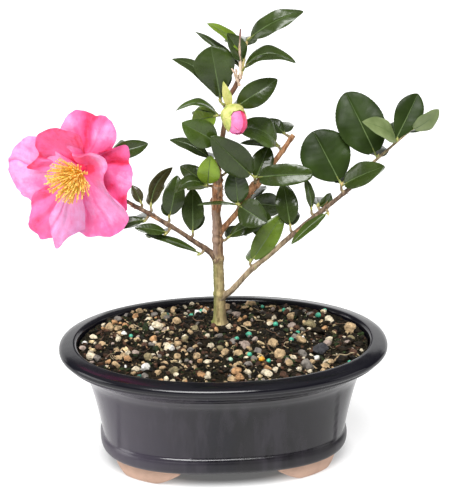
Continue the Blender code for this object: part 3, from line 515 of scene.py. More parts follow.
# The pot's section, each part as half length and height
POT_ROLL = ((74, UNDERSIDE), (76.2, 11.6), (77.3, 13.6), (77.5, 16.6), (77, 18.4), (75.9, 19.7),
            (76.1, PANEL_FOOT))
POT_BODY = ((76.1, PANEL_FOOT), (77.9, 31), (79.6, 39), (81.8, 48), (84.2, 56), (86.3, PANEL_TOP),
            (90, 64.5), (95.5, 68.2), (98.4, 69.6))
POT_STEP = ((98.4, 69.6), (98.8, 71.8))
POT_LIP = ((98.8, 71.8), (100.6, 72.1), (101.7, 73.2), (102, 74.7), (101.3, 76.1), (99.3, 77.2),
           (95.5, 78), (92.6, 78.3), (91.3, 77.7), (90.6, 76.5))
POT_INSIDE = ((90.6, 76.5), (89, NECK_TOP), (78.5, NECK_FOOT), (73, 36), (69.5, FLOOR_TOP))


def panel_depth(height):
    """How far the panel is set back: most at its foot, running out to nothing at its top."""
    share = np.clip((PANEL_TOP - height) / (PANEL_TOP - PANEL_FOOT), 0.0, 1.0)
    return PANEL_RECESS * share ** 0.6 * smoothstep(PANEL_FOOT - 0.8, PANEL_FOOT, height)


def pot_outline():
    """The wall from its foot over the lip: half length, half depth and height, its corners softened.

    Each pass puts every point between itself and its neighbours' middle.
    """
    rows = []
    for line, count in ((POT_ROLL, 26), (POT_BODY, 66), (POT_STEP, 6), (POT_LIP, 40)):
        length, height = spline(line, count)[1 if rows else 0:].T
        depth = length - (RIM_HALF_LENGTH - RIM_HALF_DEPTH) if line is POT_LIP else body_half_depth(length)
        rows.append(np.stack([length, depth, height], -1))
    rows = np.concatenate(rows)
    for _ in range(2):
        rows[1:-1] = 0.5 * rows[1:-1] + 0.25 * (rows[:-2] + rows[2:])
    return rows


def pot_rings(settings):
    """The pot's skin: rings from the middle of the underside up the outside, over the lip and down inside."""
    angles = even_angles(settings.ring_points)
    rings = []
    foot_length = POT_ROLL[0][0]
    foot_depth = body_half_depth(foot_length)
    for share in evenly(34)[1:-1]:
        ring = oval(foot_length * share, foot_depth * share, UNDERSIDE, angles)
        away = np.hypot(np.abs(ring[:, 0]) - DRAIN_PLACE, ring[:, 1])
        ring[:, 2] += DRAIN_DEPTH * (1.0 - smoothstep(DRAIN_RADIUS - 0.8, DRAIN_RADIUS + 0.2, away))
        rings.append(ring)
    for half_length, half_depth, height in pot_outline():
        ring = oval(half_length, half_depth, height, angles)
        on_panel = 1.0 - smoothstep(PANEL_HALF_LENGTH - 0.9, PANEL_HALF_LENGTH + 0.4, np.abs(ring[:, 0]))
        ring[:, 1] -= np.sign(ring[:, 1]) * panel_depth(height) * on_panel
        rings.append(ring)
    for half_length, height in spline(POT_INSIDE, 26)[1:]:
        near_lip = smoothstep(NECK_FOOT, NECK_TOP, height)
        at_lip = (half_length - MOUTH_DIFFERENCE) * near_lip
        half_depth = inner_half_depth(half_length) * (1 - near_lip) + at_lip
        rings.append(oval(half_length, half_depth, height, angles))
    half_length, height = POT_INSIDE[-1]
    for share in (0.8, 0.6, 0.4, 0.2):
        rings.append(oval(half_length * share, inner_half_depth(half_length) * share, height, angles))
    return np.array(rings)


def glaze_look(settings):
    """Near-black blue glaze, darkest on the lip as painted shade; the wall greyer, cloudy and streaked.

    The streaks and the wall's paler left end are painted reflection.
    """
    deep, wall_tone_and_sheen = tuple(settings.glaze), tuple(settings.wall_glaze_and_sheen)
    look = finish("glaze", deep, 0.12, index=1.41)
    # Grey streaks down the wall: painted sheen
    painted_sheen_streaks = noise_of(look, 120.0, (1, 1, 0.07))
    cloud = noise_of(look, 26.0, (1, 1, 0.6), detail=5.0, roughness=0.6)
    wall = ramp_of(look, cloud, ((0.4, deep), (0.55, tinted(wall_tone_and_sheen, 0.5)), (0.66, wall_tone_and_sheen)))
    wall = mix_of(look, range_of(look, painted_sheen_streaks, 0.48, 0.66, 0.0, 0.7), wall, tinted(wall_tone_and_sheen, 2.4))
    coords = coords_of(look)
    # Paler towards the wall's left end: painted reflection
    painted_reflection_at_left = range_of(look, coords["X"], -92 * MM, -8 * MM, 0.7, 0.0)
    wall = mix_of(look, painted_reflection_at_left, wall, tinted(wall_tone_and_sheen, 9.0))
    # Darker on the lip: painted shade
    painted_shade_on_lip = range_of(look, coords["Z"], 69.5 * MM, 72.5 * MM)
    on_roll = range_of(look, coords["Z"], PANEL_FOOT * MM, 18.0 * MM, 0.0, 0.24)
    rough = node_of(look, "Math", operation="ADD")
    join(look, range_of(look, cloud, 0.35, 0.7, 0.08, 0.24), rough.inputs[0])
    join(look, on_roll, rough.inputs[1])
    pits = noise_of(look, 55.0, (1, 1, 0.3), detail=2.0)
    colour = mix_of(look, painted_shade_on_lip, wall, tinted(deep, 0.7))
    return wear(look, colour, rough.outputs[0], pits, settings.ripple * MM, 0.5)


def clay_look(settings):
    """Unglazed fired clay: pale pinkish brown, matt and fine grained."""
    tints = ((0.3, 0.85), (0.5, 1.0), (0.72, 1.1))
    look = mottled("fired_clay", tuple(settings.clay), 0.8, 90.0, tints, detail=5.0, shine=0.3)
    return wear(look, None, None, noise_of(look, 1200.0), 0.00008, 0.4)


def make_pot(settings):
    """The glazed bowl."""
    heap = Heap()
    capped(heap, pot_rings(settings))
    heap.place("glazed_pot", [glaze_look(settings)], 62, "glaze", "pot")


FOOT_HALF_LENGTH = 72.5
FOOT_DEPTH = 13.0
# A foot's section: the insets of its outer face, of its inner face from the foot's depth, and of its top, as
# shares of the depth; then how far each of them drops from the foot's top to its underside
OUTER_INSETS = (0.0, 0.35, 1.0, 1.6, 2.2, 5.0, 8.0)
INNER_INSETS = np.array([3.0, 2.3, 0.7, 0.0])
TOP_SHARES = np.array([0.6, 0.3])
FOOT_DROPS = (0.0, 0.4, 0.82, 0.96, 1.0, 1.0, 1.0, 1.0, 0.97, 0.5, 0.0, 0.0, 0.0)


def foot_rings(side_x, side_y):
    """One foot: a rounded four-sided section carried round the pot's corner, its ends sweeping up.

    The section is a row of insets from the foot's outer face, each with its share of the foot's height.
    """
    share = evenly(44)[:, None]
    angle = np.radians(17 + 53 * share)
    power = 2 / oval_exponent(UNDERSIDE)
    rise = 7.5 * (np.clip(np.abs(2 * share - 1) - 0.45, 0.0, None) / 0.55) ** 1.5
    top = UNDERSIDE - GAP
    inset = np.concatenate([OUTER_INSETS, FOOT_DEPTH - INNER_INSETS, FOOT_DEPTH * TOP_SHARES])
    height = top + (rise - top) * np.array(FOOT_DROPS)
    x = (FOOT_HALF_LENGTH - inset) * np.cos(angle) ** power
    y = (body_half_depth(FOOT_HALF_LENGTH) - inset) * np.sin(angle) ** power
    return np.stack([side_x * x, side_y * y, height], -1)


def make_feet(settings):
    """The four clay feet, one piece each."""
    look = clay_look(settings)
    for side_y, long_side in ((-1, "front_"), (1, "back_")):
        for side_x, end in ((-1, "left"), (1, "right")):
            heap = Heap()
            capped(heap, foot_rings(side_x, side_y))
            node = "foot_" + long_side + end
            heap.place("clay_" + node, [look], 60, "clay", node)


# Soil
def soil_half_sizes(height):
    """Half length and half depth of the soil at a height, just clear of the pot's wall."""
    table = np.array(POT_INSIDE)[::-1]
    half_length = np.interp(height, table[:, 1], table[:, 0])
    half_depth = inner_half_depth(half_length) if height < PANEL_TOP else half_length - MOUTH_DIFFERENCE
    return half_length - SOIL_CLEARANCE, half_depth - SOIL_CLEARANCE


def inside_edge(x, y, margin):
    """Whether places on the soil lie at least the margin inside its edge."""
    half_length, half_depth = soil_half_sizes(SOIL_EDGE)
    power = oval_exponent(SOIL_EDGE)
    return np.abs(x / (half_length - margin)) ** power + np.abs(y / (half_depth - margin)) ** power <= 1.0


def soil_lumps(x, y, lump):
    """Unevenness of the soil: lumps of three sizes."""
    flat = np.stack([x, y, np.zeros_like(x)], -1)
    return lump * (0.8 * grain(flat, 8.0, 3) + 0.9 * grain(flat, 3.2, 4) + 0.6 * grain(flat, 1.4, 5))


def soil_surface(x, y, settings):
    """Height of the soil: a mound round the trunk's foot, its edge higher at the pot's back, with lumps.

    The wall's distance on a place's bearing is found by halving the space where it can lie.
    """
    away = np.stack([x, y], -1) - TRUNK_PLACE
    length = np.maximum(np.linalg.norm(away, axis=-1), 1e-6)
    way = away / length[..., None]
    near, far = np.zeros_like(length), np.full_like(length, 2 * RIM_HALF_LENGTH)
    for _ in range(24):
        middle = 0.5 * (near + far)
        spot = TRUNK_PLACE + way * middle[..., None]
        inside = inside_edge(spot[..., 0], spot[..., 1], 0.0)
        near, far = np.where(inside, middle, near), np.where(inside, far, middle)
    reach = np.clip((length - FOOT_PATCH) / (near - FOOT_PATCH), 0.0, 1.0)
    edge = SOIL_EDGE + SOIL_BACK_RISE * smoothstep(0.0, 50.0, TRUNK_PLACE[1] + way[..., 1] * near)
    mound = edge + (SOIL_CROWN - edge) * (0.5 + 0.5 * np.cos(np.pi * reach ** 0.85))
    return mound + soil_lumps(x, y, settings.lump) * smoothstep(4.0, 9.0, length)


def soil_rings(settings):
    """The soil's skin: up the wall, then inwards over the mound to the trunk."""
    angles = even_angles(SOIL_POINTS)
    heights = (FLOOR_TOP + 0.4, 36.0, 54.0, 66.0, 71.0, SOIL_EDGE - 1.0)
    rings = [oval(*soil_half_sizes(height), height, angles) for height in heights]
    edge = oval(*soil_half_sizes(SOIL_EDGE), SOIL_EDGE, angles)
    for reach in np.linspace(1.0, 0.02, 110):
        spot = TRUNK_PLACE + (edge[:, :2] - TRUNK_PLACE) * reach
        rings.append(np.concatenate([spot, soil_surface(spot[:, 0], spot[:, 1], settings)[:, None]], -1))
    return np.array(rings)


def pebble_shape(rows, columns):
    """A small closed ball: rings between two poles, as unit points, and its quads and triangles."""
    fall = np.linspace(0.0, np.pi, rows + 2)[1:-1, None]
    turn = circle(columns)[None]
    ball = np.stack([np.sin(fall) * np.cos(turn), np.sin(fall) * np.sin(turn), np.cos(fall) + 0 * turn], -1)
    points = np.concatenate([ball.reshape(-1, 3), [[0, 0, 1.0]], [[0, 0, -1.0]]])
    return points, grid_faces(rows, columns, closed=True), np.concatenate(end_fans(rows, columns))


def scatter(heap, places, sizes, slots, draws, shape, flat=(0.6, 0.95), blunt=0.5, tilt=0.5, cuts=8):
    """Adds many stones: each a ball cut by planes at chance, drawn out, turned and set at its place.

    A point of the ball is drawn in to the nearest plane that stands across its way.
    """
    points, *kinds = pebble_shape(*shape)
    count = len(places)
    normals = unit(draws.normal(size=(count, cuts, 3)))
    standing = draws.uniform(blunt, 1.0, (count, 1, cuts))
    reach = (standing / np.maximum(np.einsum("nj,ckj->cnk", points, normals), 1e-3)).min(-1).clip(0.0, 1.0)
    reach = reach * (1.08 + 0.17 * grain(points[None] + draws.uniform(0, 90, (count, 1, 3)), 0.5, 9))
    stretch = np.stack([np.ones(count), draws.uniform(flat[0], 1.0, count), draws.uniform(*flat, count)], -1)
    body = points[None] * reach[..., None] * stretch[:, None] * (0.53 * np.asarray(sizes))[:, None, None]
    spin = draws.uniform(0, 2 * np.pi, count)[:, None]
    lean = draws.normal(0, tilt, count)[:, None]
    x, y, z = body[..., 0], body[..., 1], body[..., 2]
    y, z = y * np.cos(lean) - z * np.sin(lean), y * np.sin(lean) + z * np.cos(lean)
    x, y = x * np.cos(spin) - y * np.sin(spin), x * np.sin(spin) + y * np.cos(spin)
    step = (np.arange(count) * len(points))[:, None, None]
    groups = [((faces[None] + step).reshape(-1, faces.shape[1]), np.repeat(slots, len(faces)))
              for faces in kinds]
    heap.add(np.stack([x, y, z], -1) + places[:, None], groups)


def soil_spots(count, draws, settings, apart=0.0, taken=(), keep=None, margin=1.5):
    """Places on the soil, spread by chance, no nearer to each other and to those taken than asked."""
    found, taken = [], list(taken)
    for _ in range(count * 40):
        if len(found) == count:
            break
        x, y = draws.uniform(-90, 90), draws.uniform(-60, 60)
        if not inside_edge(x, y, margin) or math.hypot(x - TRUNK_PLACE[0], y - TRUNK_PLACE[1]) < ROOT_REACH:
            continue
        if keep is not None and draws.uniform() > keep(x, y):
            continue
        if apart and any((x - p) ** 2 + (y - q) ** 2 < apart ** 2 for p, q in taken + found):
            continue
        found.append((x, y))
    return on_soil(np.array(found), settings)


def on_soil(spots, settings):
    """Places with the soil's height as their third number."""
    spots = np.asarray(spots, float)
    return np.concatenate([spots[:, :2], soil_surface(spots[:, 0], spots[:, 1], settings)[:, None]], -1)


def stone_places():
    """The named stones, then others by chance wherever there is space between them."""
    draws = random.Random(STONE_SEED)
    stones = [stone[:3] for stone in STONES]
    for _ in range(STONE_DRAWS):
        x = draws.uniform(-RIM_HALF_LENGTH, RIM_HALF_LENGTH)
        y = draws.uniform(-RIM_HALF_DEPTH, RIM_HALF_DEPTH)
        size = draws.uniform(5.0, 8.0)
        from_trunk = math.hypot(x - TRUNK_PLACE[0], y - TRUNK_PLACE[1])
        if not inside_edge(x, y, size / 2 + 1.0) or from_trunk < FOOT_PATCH + size / 2:
            continue
        if all(math.hypot(x - p, y - q) > STONE_SPACING for p, q, _ in stones):
            stones.append((x, y, size))
    return stones


STONE_COLOURS = {
    "tan": (0.54, 0.38, 0.21), "cream": (0.78, 0.67, 0.48), "ochre": (0.52, 0.29, 0.135),
    "grey": (0.22, 0.195, 0.17), "slate": (0.05, 0.05, 0.056), "brown": (0.1, 0.048, 0.028),
    "pinkish": (0.4, 0.31, 0.26), "white": (0.88, 0.86, 0.8), "olive": (0.28, 0.23, 0.12),
}
# The larger stones: x, y, size and colour
STONES = (
    (4, -44, 7, "ochre"), (6, -52, 5.5, "ochre"), (22, -48, 6.5, "cream"), (12, -35, 6.5, "grey"),
    (32, -47, 5.5, "brown"), (37, -35, 5.5, "tan"), (47, -39, 9.5, "grey"), (56, -45, 5, "tan"),
    (58, -19, 11.5, "slate"), (64, -6, 6, "pinkish"), (78, -20, 6, "brown"), (81, 13, 7.5, "tan"),
    (55, 18, 9, "olive"), (44, 17, 5.5, "pinkish"), (29, -9, 7.5, "tan"), (20, -3, 5, "pinkish"),
    (12, -12, 7.5, "pinkish"), (20, -18, 5.5, "grey"), (-3, 1, 5, "grey"), (-35, -8, 7, "cream"),
    (-29, -5, 5, "tan"), (-26, -15, 5, "tan"), (-43, 4, 5, "ochre"), (-28, 24, 5.5, "tan"),
    (-48, -20, 6.5, "olive"), (-50, -33, 7, "white"), (-43, -42, 5.5, "tan"), (-33, -39, 6, "olive"),
    (-13, -44, 5, "cream"), (-67, -29, 5.5, "tan"), (-60, -22, 5.5, "ochre"), (-77, -3, 5.5, "brown"),
    (-65, 8, 5, "cream"), (-56, 26, 5, "tan"), (-53, 41, 5, "ochre"), (-80, 15, 5.5, "cream"),
    (-36, 50, 5.5, "cream"), (-28, 46, 5, "tan"), (36, 49, 5.5, "tan"),
)
# Smaller stones that show between them
SMALL_STONES = (
    (-10, 0, 3.8, "cream"), (10, 9, 4.3, "tan"), (28, -41, 4.3, "cream"), (-73, 31, 4.3, "cream"),
    (-43, 19, 4.3, "white"), (-45, -6, 4.3, "grey"), (-72, -21, 3.8, "ochre"), (-73, -30, 3.8, "cream"),
    (-83, -7, 4.3, "cream"), (-60, 4, 4.3, "tan"), (49, -2, 4.3, "white"), (-7, 49, 3.8, "white"),
    (-21, 53, 4, "cream"), (-5, 16.5, 4.6, "brown"), (4, 13, 4.5, "cream"), (12, 25, 4, "ochre"),
    (16, -26, 4.6, "grey"), (-15, -9, 4, "grey"), (40, -28, 4.2, "cream"), (-38, -27, 4.4, "tan"),
    (-20, -33, 4.2, "tan"), (-55, -12, 4.4, "pinkish"), (-20, 8, 3.8, "tan"), (-36, 14, 4.2, "pinkish"),
)
STONE_SPACING = 12.5
STONE_SEED = 8
STONE_DRAWS = 600
STONE_SUNK = 0.1
ROOT_REACH = 5.8
SOIL_POINTS = 440
# Feed beads: x, y, size and colour
BEADS = (
    (-11, 42, 2.8, "green"), (-18, 34, 2.8, "green"), (-33, 39, 3, "dark"), (-57, 12, 2.8, "green"),
    (-54, -43, 2.8, "dark"), (16, 3, 4.2, "green"), (8, -2, 3.2, "green"), (14, -23, 3.2, "green"),
    (25, -31, 2.8, "green"), (2, -28, 3, "pale"), (34, 16, 3.2, "green"), (42, 40, 2.8, "green"),
    (29, 49, 2.6, "green"), (63, 32, 3.8, "green"), (68, 39, 3, "green"), (47, 7, 3, "green"),
    (42, -3, 3, "green"), (74, -34, 2.8, "green"), (21, -29, 3.8, "orange"),
)
BEAD_COLOURS = {"green": (0.05, 0.36, 0.23), "dark": (0.01, 0.1, 0.08), "pale": (0.3, 0.5, 0.36),
                "orange": (0.85, 0.36, 0.02)}


def grit_look(name, colour):
    """Stone of one colour, with cloudy stains and a rough skin."""
    tints = ((0.32, 0.28), (0.5, 0.8), (0.7, 1.3))
    look = mottled("stone_" + name, colour, 0.8, 330.0, tints, detail=4.0, fine=0.65, shine=0.3)
    return wear(look, None, None, noise_of(look, 1000.0), 0.0009, 0.9)


def earth_look():
    """Damp potting soil: black and brown crumbs with a faint wet shine."""
    crumbs = ((0.36, (0.002, 0.002, 0.0012)), (0.5, (0.009, 0.0075, 0.004)), (0.6, (0.035, 0.027, 0.014)),
              (0.72, (0.2, 0.16, 0.095)))
    look = mottled("earth", (0.012, 0.008, 0.006), 0.9, 700.0, crumbs, detail=6.0, fine=0.75, shine=0.1)
    rough = range_of(look, noise_of(look, 900.0), 0.35, 0.65, 0.55, 0.95)
    return wear(look, None, rough, noise_of(look, 1200.0, detail=5.0), 0.0012, 0.9)


def bark_chip_look(name, colour):
    """Chips of composted bark of one colour, streaked, some of them a little wet."""
    look = finish("bark_chip_" + name, colour, 0.7, shine=0.12)
    patch = noise_of(look, 380.0, (1, 0.5, 1), detail=4.0, roughness=0.65)
    shades = ramp_of(look, patch, ((0.34, tinted(colour, 0.3)), (0.52, colour), (0.7, tinted(colour, 2.4))))
    rough = range_of(look, patch, 0.3, 0.7, 0.4, 0.95)
    return wear(look, shades, rough, noise_of(look, 1100.0, detail=4.0), 0.0004, 0.7)


CHIP_COLOURS = {"black": (0.004, 0.0035, 0.0025), "dark": (0.014, 0.01, 0.006), "brown": (0.06, 0.03, 0.018),
                "straw": (0.42, 0.32, 0.18), "mossy": (0.02, 0.032, 0.011)}
FIBRE_COLOURS = {"pale": (0.42, 0.33, 0.2), "brown": (0.13, 0.075, 0.045), "dark": (0.03, 0.02, 0.014)}
# The shares of the stones' colours, among the pale and among the dark ones, and of the chips' colours
STONE_MIX = (0.28, 0.28, 0.1, 0.1, 0.01, 0.04, 0.07, 0.03, 0.09)
DARK_MIX = (0.12, 0.1, 0.04, 0.26, 0.1, 0.12, 0.14, 0.04, 0.08)
CHIP_MIX = (0.33, 0.31, 0.17, 0.07, 0.12)
# Larger chips of bark: x, y and size
BIG_CHIPS = (
    (76, -4, 9), (83, -8, 8), (70, -30, 8), (60, 8, 9), (66, 20, 7.5), (36, 4, 7),
    (-8, -22, 7.5), (-16, -26, 6.5), (2, -18, 7), (50, -28, 7), (31, 28, 8), (24, 34, 7),
    (-62, -8, 6.5), (-4, 34, 7), (48, 32, 7.5), (-22, 16, 6.5), (10, -44, 6), (72, -16, 7.5))


def pale_side(x, y):
    """How likely a small pale stone lies at a place: in clumps, thickest on the left and along the front."""
    clump = smoothstep(-0.15, 0.35, float(grain(np.array([x, y, 0.0]), 13.0, 17)))
    clear = smoothstep(8.0, 44.0, math.hypot(x - 4.0, y - 6.0))
    return float(np.clip(0.55 - x / 130 - y / 130, 0.1, 1.0) * (0.12 + clump) * (0.25 + clear))


def make_soil(settings):
    """The soil bed and what lies on it: stones, bark chips, grit, feed beads and bits of twig."""
    draws = np.random.default_rng(settings.seed)
    bed = Heap()
    capped(bed, soil_rings(settings))
    bed.place("soil_bed", [earth_look()], 75, "soil", "soil")
    make_pebbles(settings, draws)
    make_chips(settings, draws)
    make_beads(settings, draws)
    make_soil_twigs(settings, draws)


def make_pebbles(settings, draws):
    """The stones: those named, the others of the soil's own solid, then pebbles and grit by chance."""
    names = list(STONE_COLOURS)
    colours = len(names)
    stones = np.array(stone_places())
    slots = [names.index(row[3]) for row in STONES]
    slots += list(draws.choice(colours, len(stones) - len(slots), p=STONE_MIX))
    slots += [names.index(row[3]) for row in SMALL_STONES]
    stones = np.concatenate([stones, [row[:3] for row in SMALL_STONES]])
    taken = [tuple(spot) for spot in stones[:, :2]]
    pebbles = Heap()
    places = on_soil(stones, settings)
    places[:, 2] += STONE_SUNK * stones[:, 2]
    sizes = stones[:, 2]
    scatter(pebbles, places, sizes, slots, draws, (8, 13), flat=(0.62, 0.92), blunt=0.4, tilt=0.3, cuts=6)
    for count, low, high, mix, keep, apart, shape in (
            (settings.pebbles, 2.2, 5.4, STONE_MIX, pale_side, 3.3, (6, 9)),
            (settings.pebbles // 4, 2.2, 4.6, DARK_MIX, None, 4.2, (6, 9)),
            (settings.grit, 0.6, 1.6, STONE_MIX, None, 0.0, (3, 5))):
        places = soil_spots(count, draws, settings, apart, taken, keep)
        taken += [tuple(spot) for spot in places[:, :2]]
        sizes = low + (high - low) * draws.uniform(0, 1, len(places)) ** 1.3
        places[:, 2] += 0.14 * sizes
        slots = draws.choice(colours, len(places), p=mix)
        scatter(pebbles, places, sizes, slots, draws, shape, blunt=0.4, cuts=6)
    looks = [grit_look(name, colour) for name, colour in STONE_COLOURS.items()]
    pebbles.place("pebbles", looks, 26, "soil")


def make_chips(settings, draws):
    """Chips of bark: many small ones by chance, then the larger ones that are named."""
    chips = Heap()
    places = soil_spots(settings.chips, draws, settings)
    places[:, 2] += 0.3
    sizes = 1.3 + 4.4 * draws.uniform(0, 1, len(places)) ** 2.2
    slots = draws.choice(len(CHIP_COLOURS), len(places), p=CHIP_MIX)
    scatter(chips, places, sizes, slots, draws, (3, 6), flat=(0.24, 0.6), tilt=0.6, cuts=6)
    places = on_soil(BIG_CHIPS, settings)
    places[:, 2] += 0.8
    sizes = [row[2] for row in BIG_CHIPS]
    scatter(chips, places, sizes, np.full(len(sizes), 1), draws, (5, 9), flat=(0.35, 0.6), tilt=0.4)
    looks = [bark_chip_look(name, colour) for name, colour in CHIP_COLOURS.items()]
    chips.place("bark_chips", looks, 26, "soil")


def make_beads(settings, draws):
    """Round beads of plant feed: most are green, the one beside the middle is orange."""
    beads = Heap()
    names = list(BEAD_COLOURS)
    places = on_soil([row[:2] for row in BEADS], settings)
    sizes = [0.88 * row[2] for row in BEADS]
    places[:, 2] += 0.34 * np.array(sizes)
    slots = [names.index(row[3]) for row in BEADS]
    scatter(beads, places, sizes, slots, draws, (7, 12), flat=(0.92, 1.0), blunt=0.93)
    looks = [mottled("feed_" + name, colour, 0.35, 260.0, ((0.3, 0.6), (0.7, 1.4)), shine=0.5)
             for name, colour in BEAD_COLOURS.items()]
    beads.place("feed_beads", looks, 60, "soil")


def make_soil_twigs(settings, draws):
    """Bits of root, twig and fibre that lie on the soil, as bent tapering tubes."""
    heap = Heap()
    along = np.linspace(-1.0, 1.0, 7)
    for number, (x, y, _) in enumerate(soil_spots(settings.twig_bits, draws, settings, margin=9.0)):
        fine = number > 0.15 * settings.twig_bits
        way = draws.uniform(0, 2 * np.pi)
        half = draws.uniform(1.2, 4.5) if fine else draws.uniform(3.0, 7.0)
        bend = draws.uniform(-1.6, 1.6)
        px = x + half * along * np.cos(way) - bend * along ** 2 * np.sin(way)
        py = y + half * along * np.sin(way) + bend * along ** 2 * np.cos(way)
        height = soil_surface(px, py, settings) + draws.uniform(0.6, 1.6) + 0.5 * along ** 2
        thick = draws.uniform(0.1, 0.2) if fine else draws.uniform(0.25, 0.5)
        rings = tube_rings(np.stack([px, py, height], -1), thick * (1.0 - 0.35 * along ** 2), 5)
        capped(heap, rings, int(draws.integers(0, 3)))
    looks = [mottled("fibre_" + name, colour, 0.8, 300.0, ((0.35, 0.5), (0.65, 1.3)), shine=0.3)
             for name, colour in FIBRE_COLOURS.items()]
    heap.place("soil_twigs", looks, 60, "soil")


# Limbs
# How much a limb swells at a knot and over what length, and where the boughs and the bud leave the trunk
KNOT_SWELL, KNOT_REACH = 0.2, 1.6
TRUNK_KNOTS = [0.12, 0.265, 0.375, 0.88]
STATION_STEP = 0.55
FLAKE_THICK, FLAKE_HINT = 0.22, (0.05, 1.0, 0.1)


def run_length(line):
    """Length of a line through its stations."""
    return np.linalg.norm(np.diff(line[:, :3], axis=0), axis=1).sum()


def limb_exit(limb, along, direction):
    """Where a stem leaves a limb: its start clear of the bark, the way straight out and the limb's radius."""
    stations = spline(LIMB_LINES[limb], 101)
    mark = round(along * 100)
    ahead = unit(stations[min(mark + 1, 100), :3] - stations[max(mark - 1, 0), :3])
    spot, radius = stations[mark, :3], stations[mark, 3]
    if mark == 100:
        return spot + ahead * (GAP + 0.05), ahead, radius
    away = unit(direction - ahead * np.dot(direction, ahead))
    return spot + away * (radius + GAP + 0.05), away, radius


def limb_knots(limb):
    """How far along the limb shoots and boughs leave it, where it is a little swollen."""
    marks = [row["along"] for row in SHOOTS.values() if row["limb"] == limb and row["along"] < 1.0]
    return marks + TRUNK_KNOTS if limb == "trunk" else marks


def limb_rings(limb, settings):
    """A limb with bark: a tapering tube, swollen at its knots, ridged along its grain and cracked across."""
    length = run_length(spline(LIMB_LINES[limb], 101))
    count = int(length / STATION_STEP)
    line = spline(LIMB_LINES[limb], count)
    share = evenly(count)
    radius = line[:, 3].copy()
    for knot in limb_knots(limb):
        radius *= 1.0 + KNOT_SWELL * bump(share * length, knot * length, KNOT_REACH)
    sides, foot_swell, foot_reach = (44, 0.16, 3.0) if limb == "trunk" else (28, 0.75, 3.2)
    radius *= 1.0 + foot_swell * np.exp(-share * length / foot_reach)
    high, turn = np.broadcast_arrays((share * length)[:, None], circle(sides)[None])
    ring = np.stack([np.cos(turn), np.sin(turn), high], -1)
    ridges, cracks, fine = (grain(ring * np.array([1.0, 1.0, pull]), size, seed)
                            for pull, size, seed in ((0.045, 0.33, 11), (0.5, 0.8, 12), (0.25, 0.16, 13)))
    old = (smoothstep(0.15, 0.5, share) * (1.0 - smoothstep(0.7, 0.9, share)))[:, None]
    relief = 0.5 * ridges + 0.3 * fine + (0.35 + 0.8 * old) * np.clip(cracks, -1, 0.3) * 0.6
    relief = settings.relief * relief * np.minimum(1.0, line[:, 3, None] / 2.6)
    return tube_rings(line[:, :3], radius[:, None] + relief, sides)


def make_flakes(heap, limb, low, high, count, draws):
    """Loose bark: small curved plates that follow the limb and lift at one end."""
    stations = spline(LIMB_LINES[limb], 201)
    run = unit(np.gradient(stations[:, :3], axis=0))
    length = run_length(stations)
    u, v = grid_steps(7, 5)
    for _ in range(count):
        start, long = draws.uniform(low, high), draws.uniform(2.5, 6.5) / length
        middle, half, lift = (draws.uniform(*span) for span in ((0, 2 * np.pi), (0.2, 0.5), (0.25, 1.15)))
        share = np.clip(start + long * u, 0.0, 1.0) * 200
        index = share.astype(int).clip(0, 199)
        part = (share - index)[..., None]
        spot = stations[index] * (1 - part) + stations[index + 1] * part
        away = spokes(*axes_of(run[index], FLAKE_HINT), middle + half * v * (1.0 - 0.4 * u ** 2) + 0.25 * u)
        rise = spot[..., 3:] + 0.12 + (lift * u ** 1.8 * (1 + 0.3 * v ** 2))[..., None]
        top = spot[..., :3] + away * rise
        add_slab(heap, top, top - away * FLAKE_THICK, (1, 1, 1))


def tint_left_painted_shade_right(look, colour, across, middle, left, right):
    """A colour that turns into the bark's own tint left of a place across and into painted shade right of it.
    """
    on_left = range_of(look, across, (middle - 3.6) * MM, (middle - 0.4) * MM, 0.8, 0.0)
    painted_shade_right = range_of(look, across, (middle + 0.8) * MM, (middle + 4.6) * MM, 0.0, 0.75)
    return mix_of(look, painted_shade_right, mix_of(look, on_left, colour, left), right)


def bark_look(name, shades, zone=None, sides=None):
    """Bark in drawn-out streaks of several shades; a zone is a second set of shades above a height.

    sides: a place across, the own tint left of it and a painted shade right of it; a zone has its own.
    """
    look = finish(name, shades[1], 0.78, shine=0.3)
    streak = noise_of(look, 520.0, (1, 1, 0.22), detail=5.0, roughness=0.65)
    colour = ramp_of(look, streak, tuple(zip(BARK_STOPS, shades)))
    places = coords_of(look)
    if sides:
        colour = tint_left_painted_shade_right(look, colour, places["X"], *sides)
    if zone:
        low, high, upper_shades, upper_sides = (*zone, None)[:4]
        upper = ramp_of(look, streak, tuple(zip(BARK_STOPS, upper_shades)))
        if upper_sides:
            upper = tint_left_painted_shade_right(look, upper, places["X"], *upper_sides)
        colour = mix_of(look, range_of(look, places["Z"], low * MM, high * MM), colour, upper)
    return wear(look, colour, None, noise_of(look, 1100.0, (1, 1, 0.3), detail=4.0), 0.0004, 0.7)


# The shades of each bark from its cracks to its ridges, and where they stand along the streaks
BARK_STOPS = (0.3, 0.45, 0.6, 0.74)
PALE_BARK = ((0.16, 0.125, 0.05), (0.34, 0.27, 0.125), (0.48, 0.39, 0.19), (0.3, 0.34, 0.09))
BROWN_BARK = ((0.045, 0.026, 0.016), (0.14, 0.08, 0.045), (0.26, 0.16, 0.09), (0.42, 0.31, 0.2))
RUSTY_BARK = ((0.1, 0.045, 0.022), (0.28, 0.13, 0.06), (0.46, 0.24, 0.12), (0.66, 0.45, 0.28))
DARK_BARK = ((0.04, 0.025, 0.018), (0.1, 0.06, 0.038), (0.2, 0.13, 0.08), (0.34, 0.25, 0.16))
GREY_BARK = ((0.1, 0.07, 0.04), (0.24, 0.18, 0.11), (0.4, 0.31, 0.2), (0.28, 0.3, 0.12))
SHADED_BARK = ((0.03, 0.02, 0.014), (0.1, 0.065, 0.042), (0.22, 0.15, 0.1), (0.36, 0.27, 0.18))
YOUNG_BARK = ((0.07, 0.05, 0.03), (0.2, 0.15, 0.08), (0.33, 0.26, 0.15), (0.24, 0.26, 0.09))
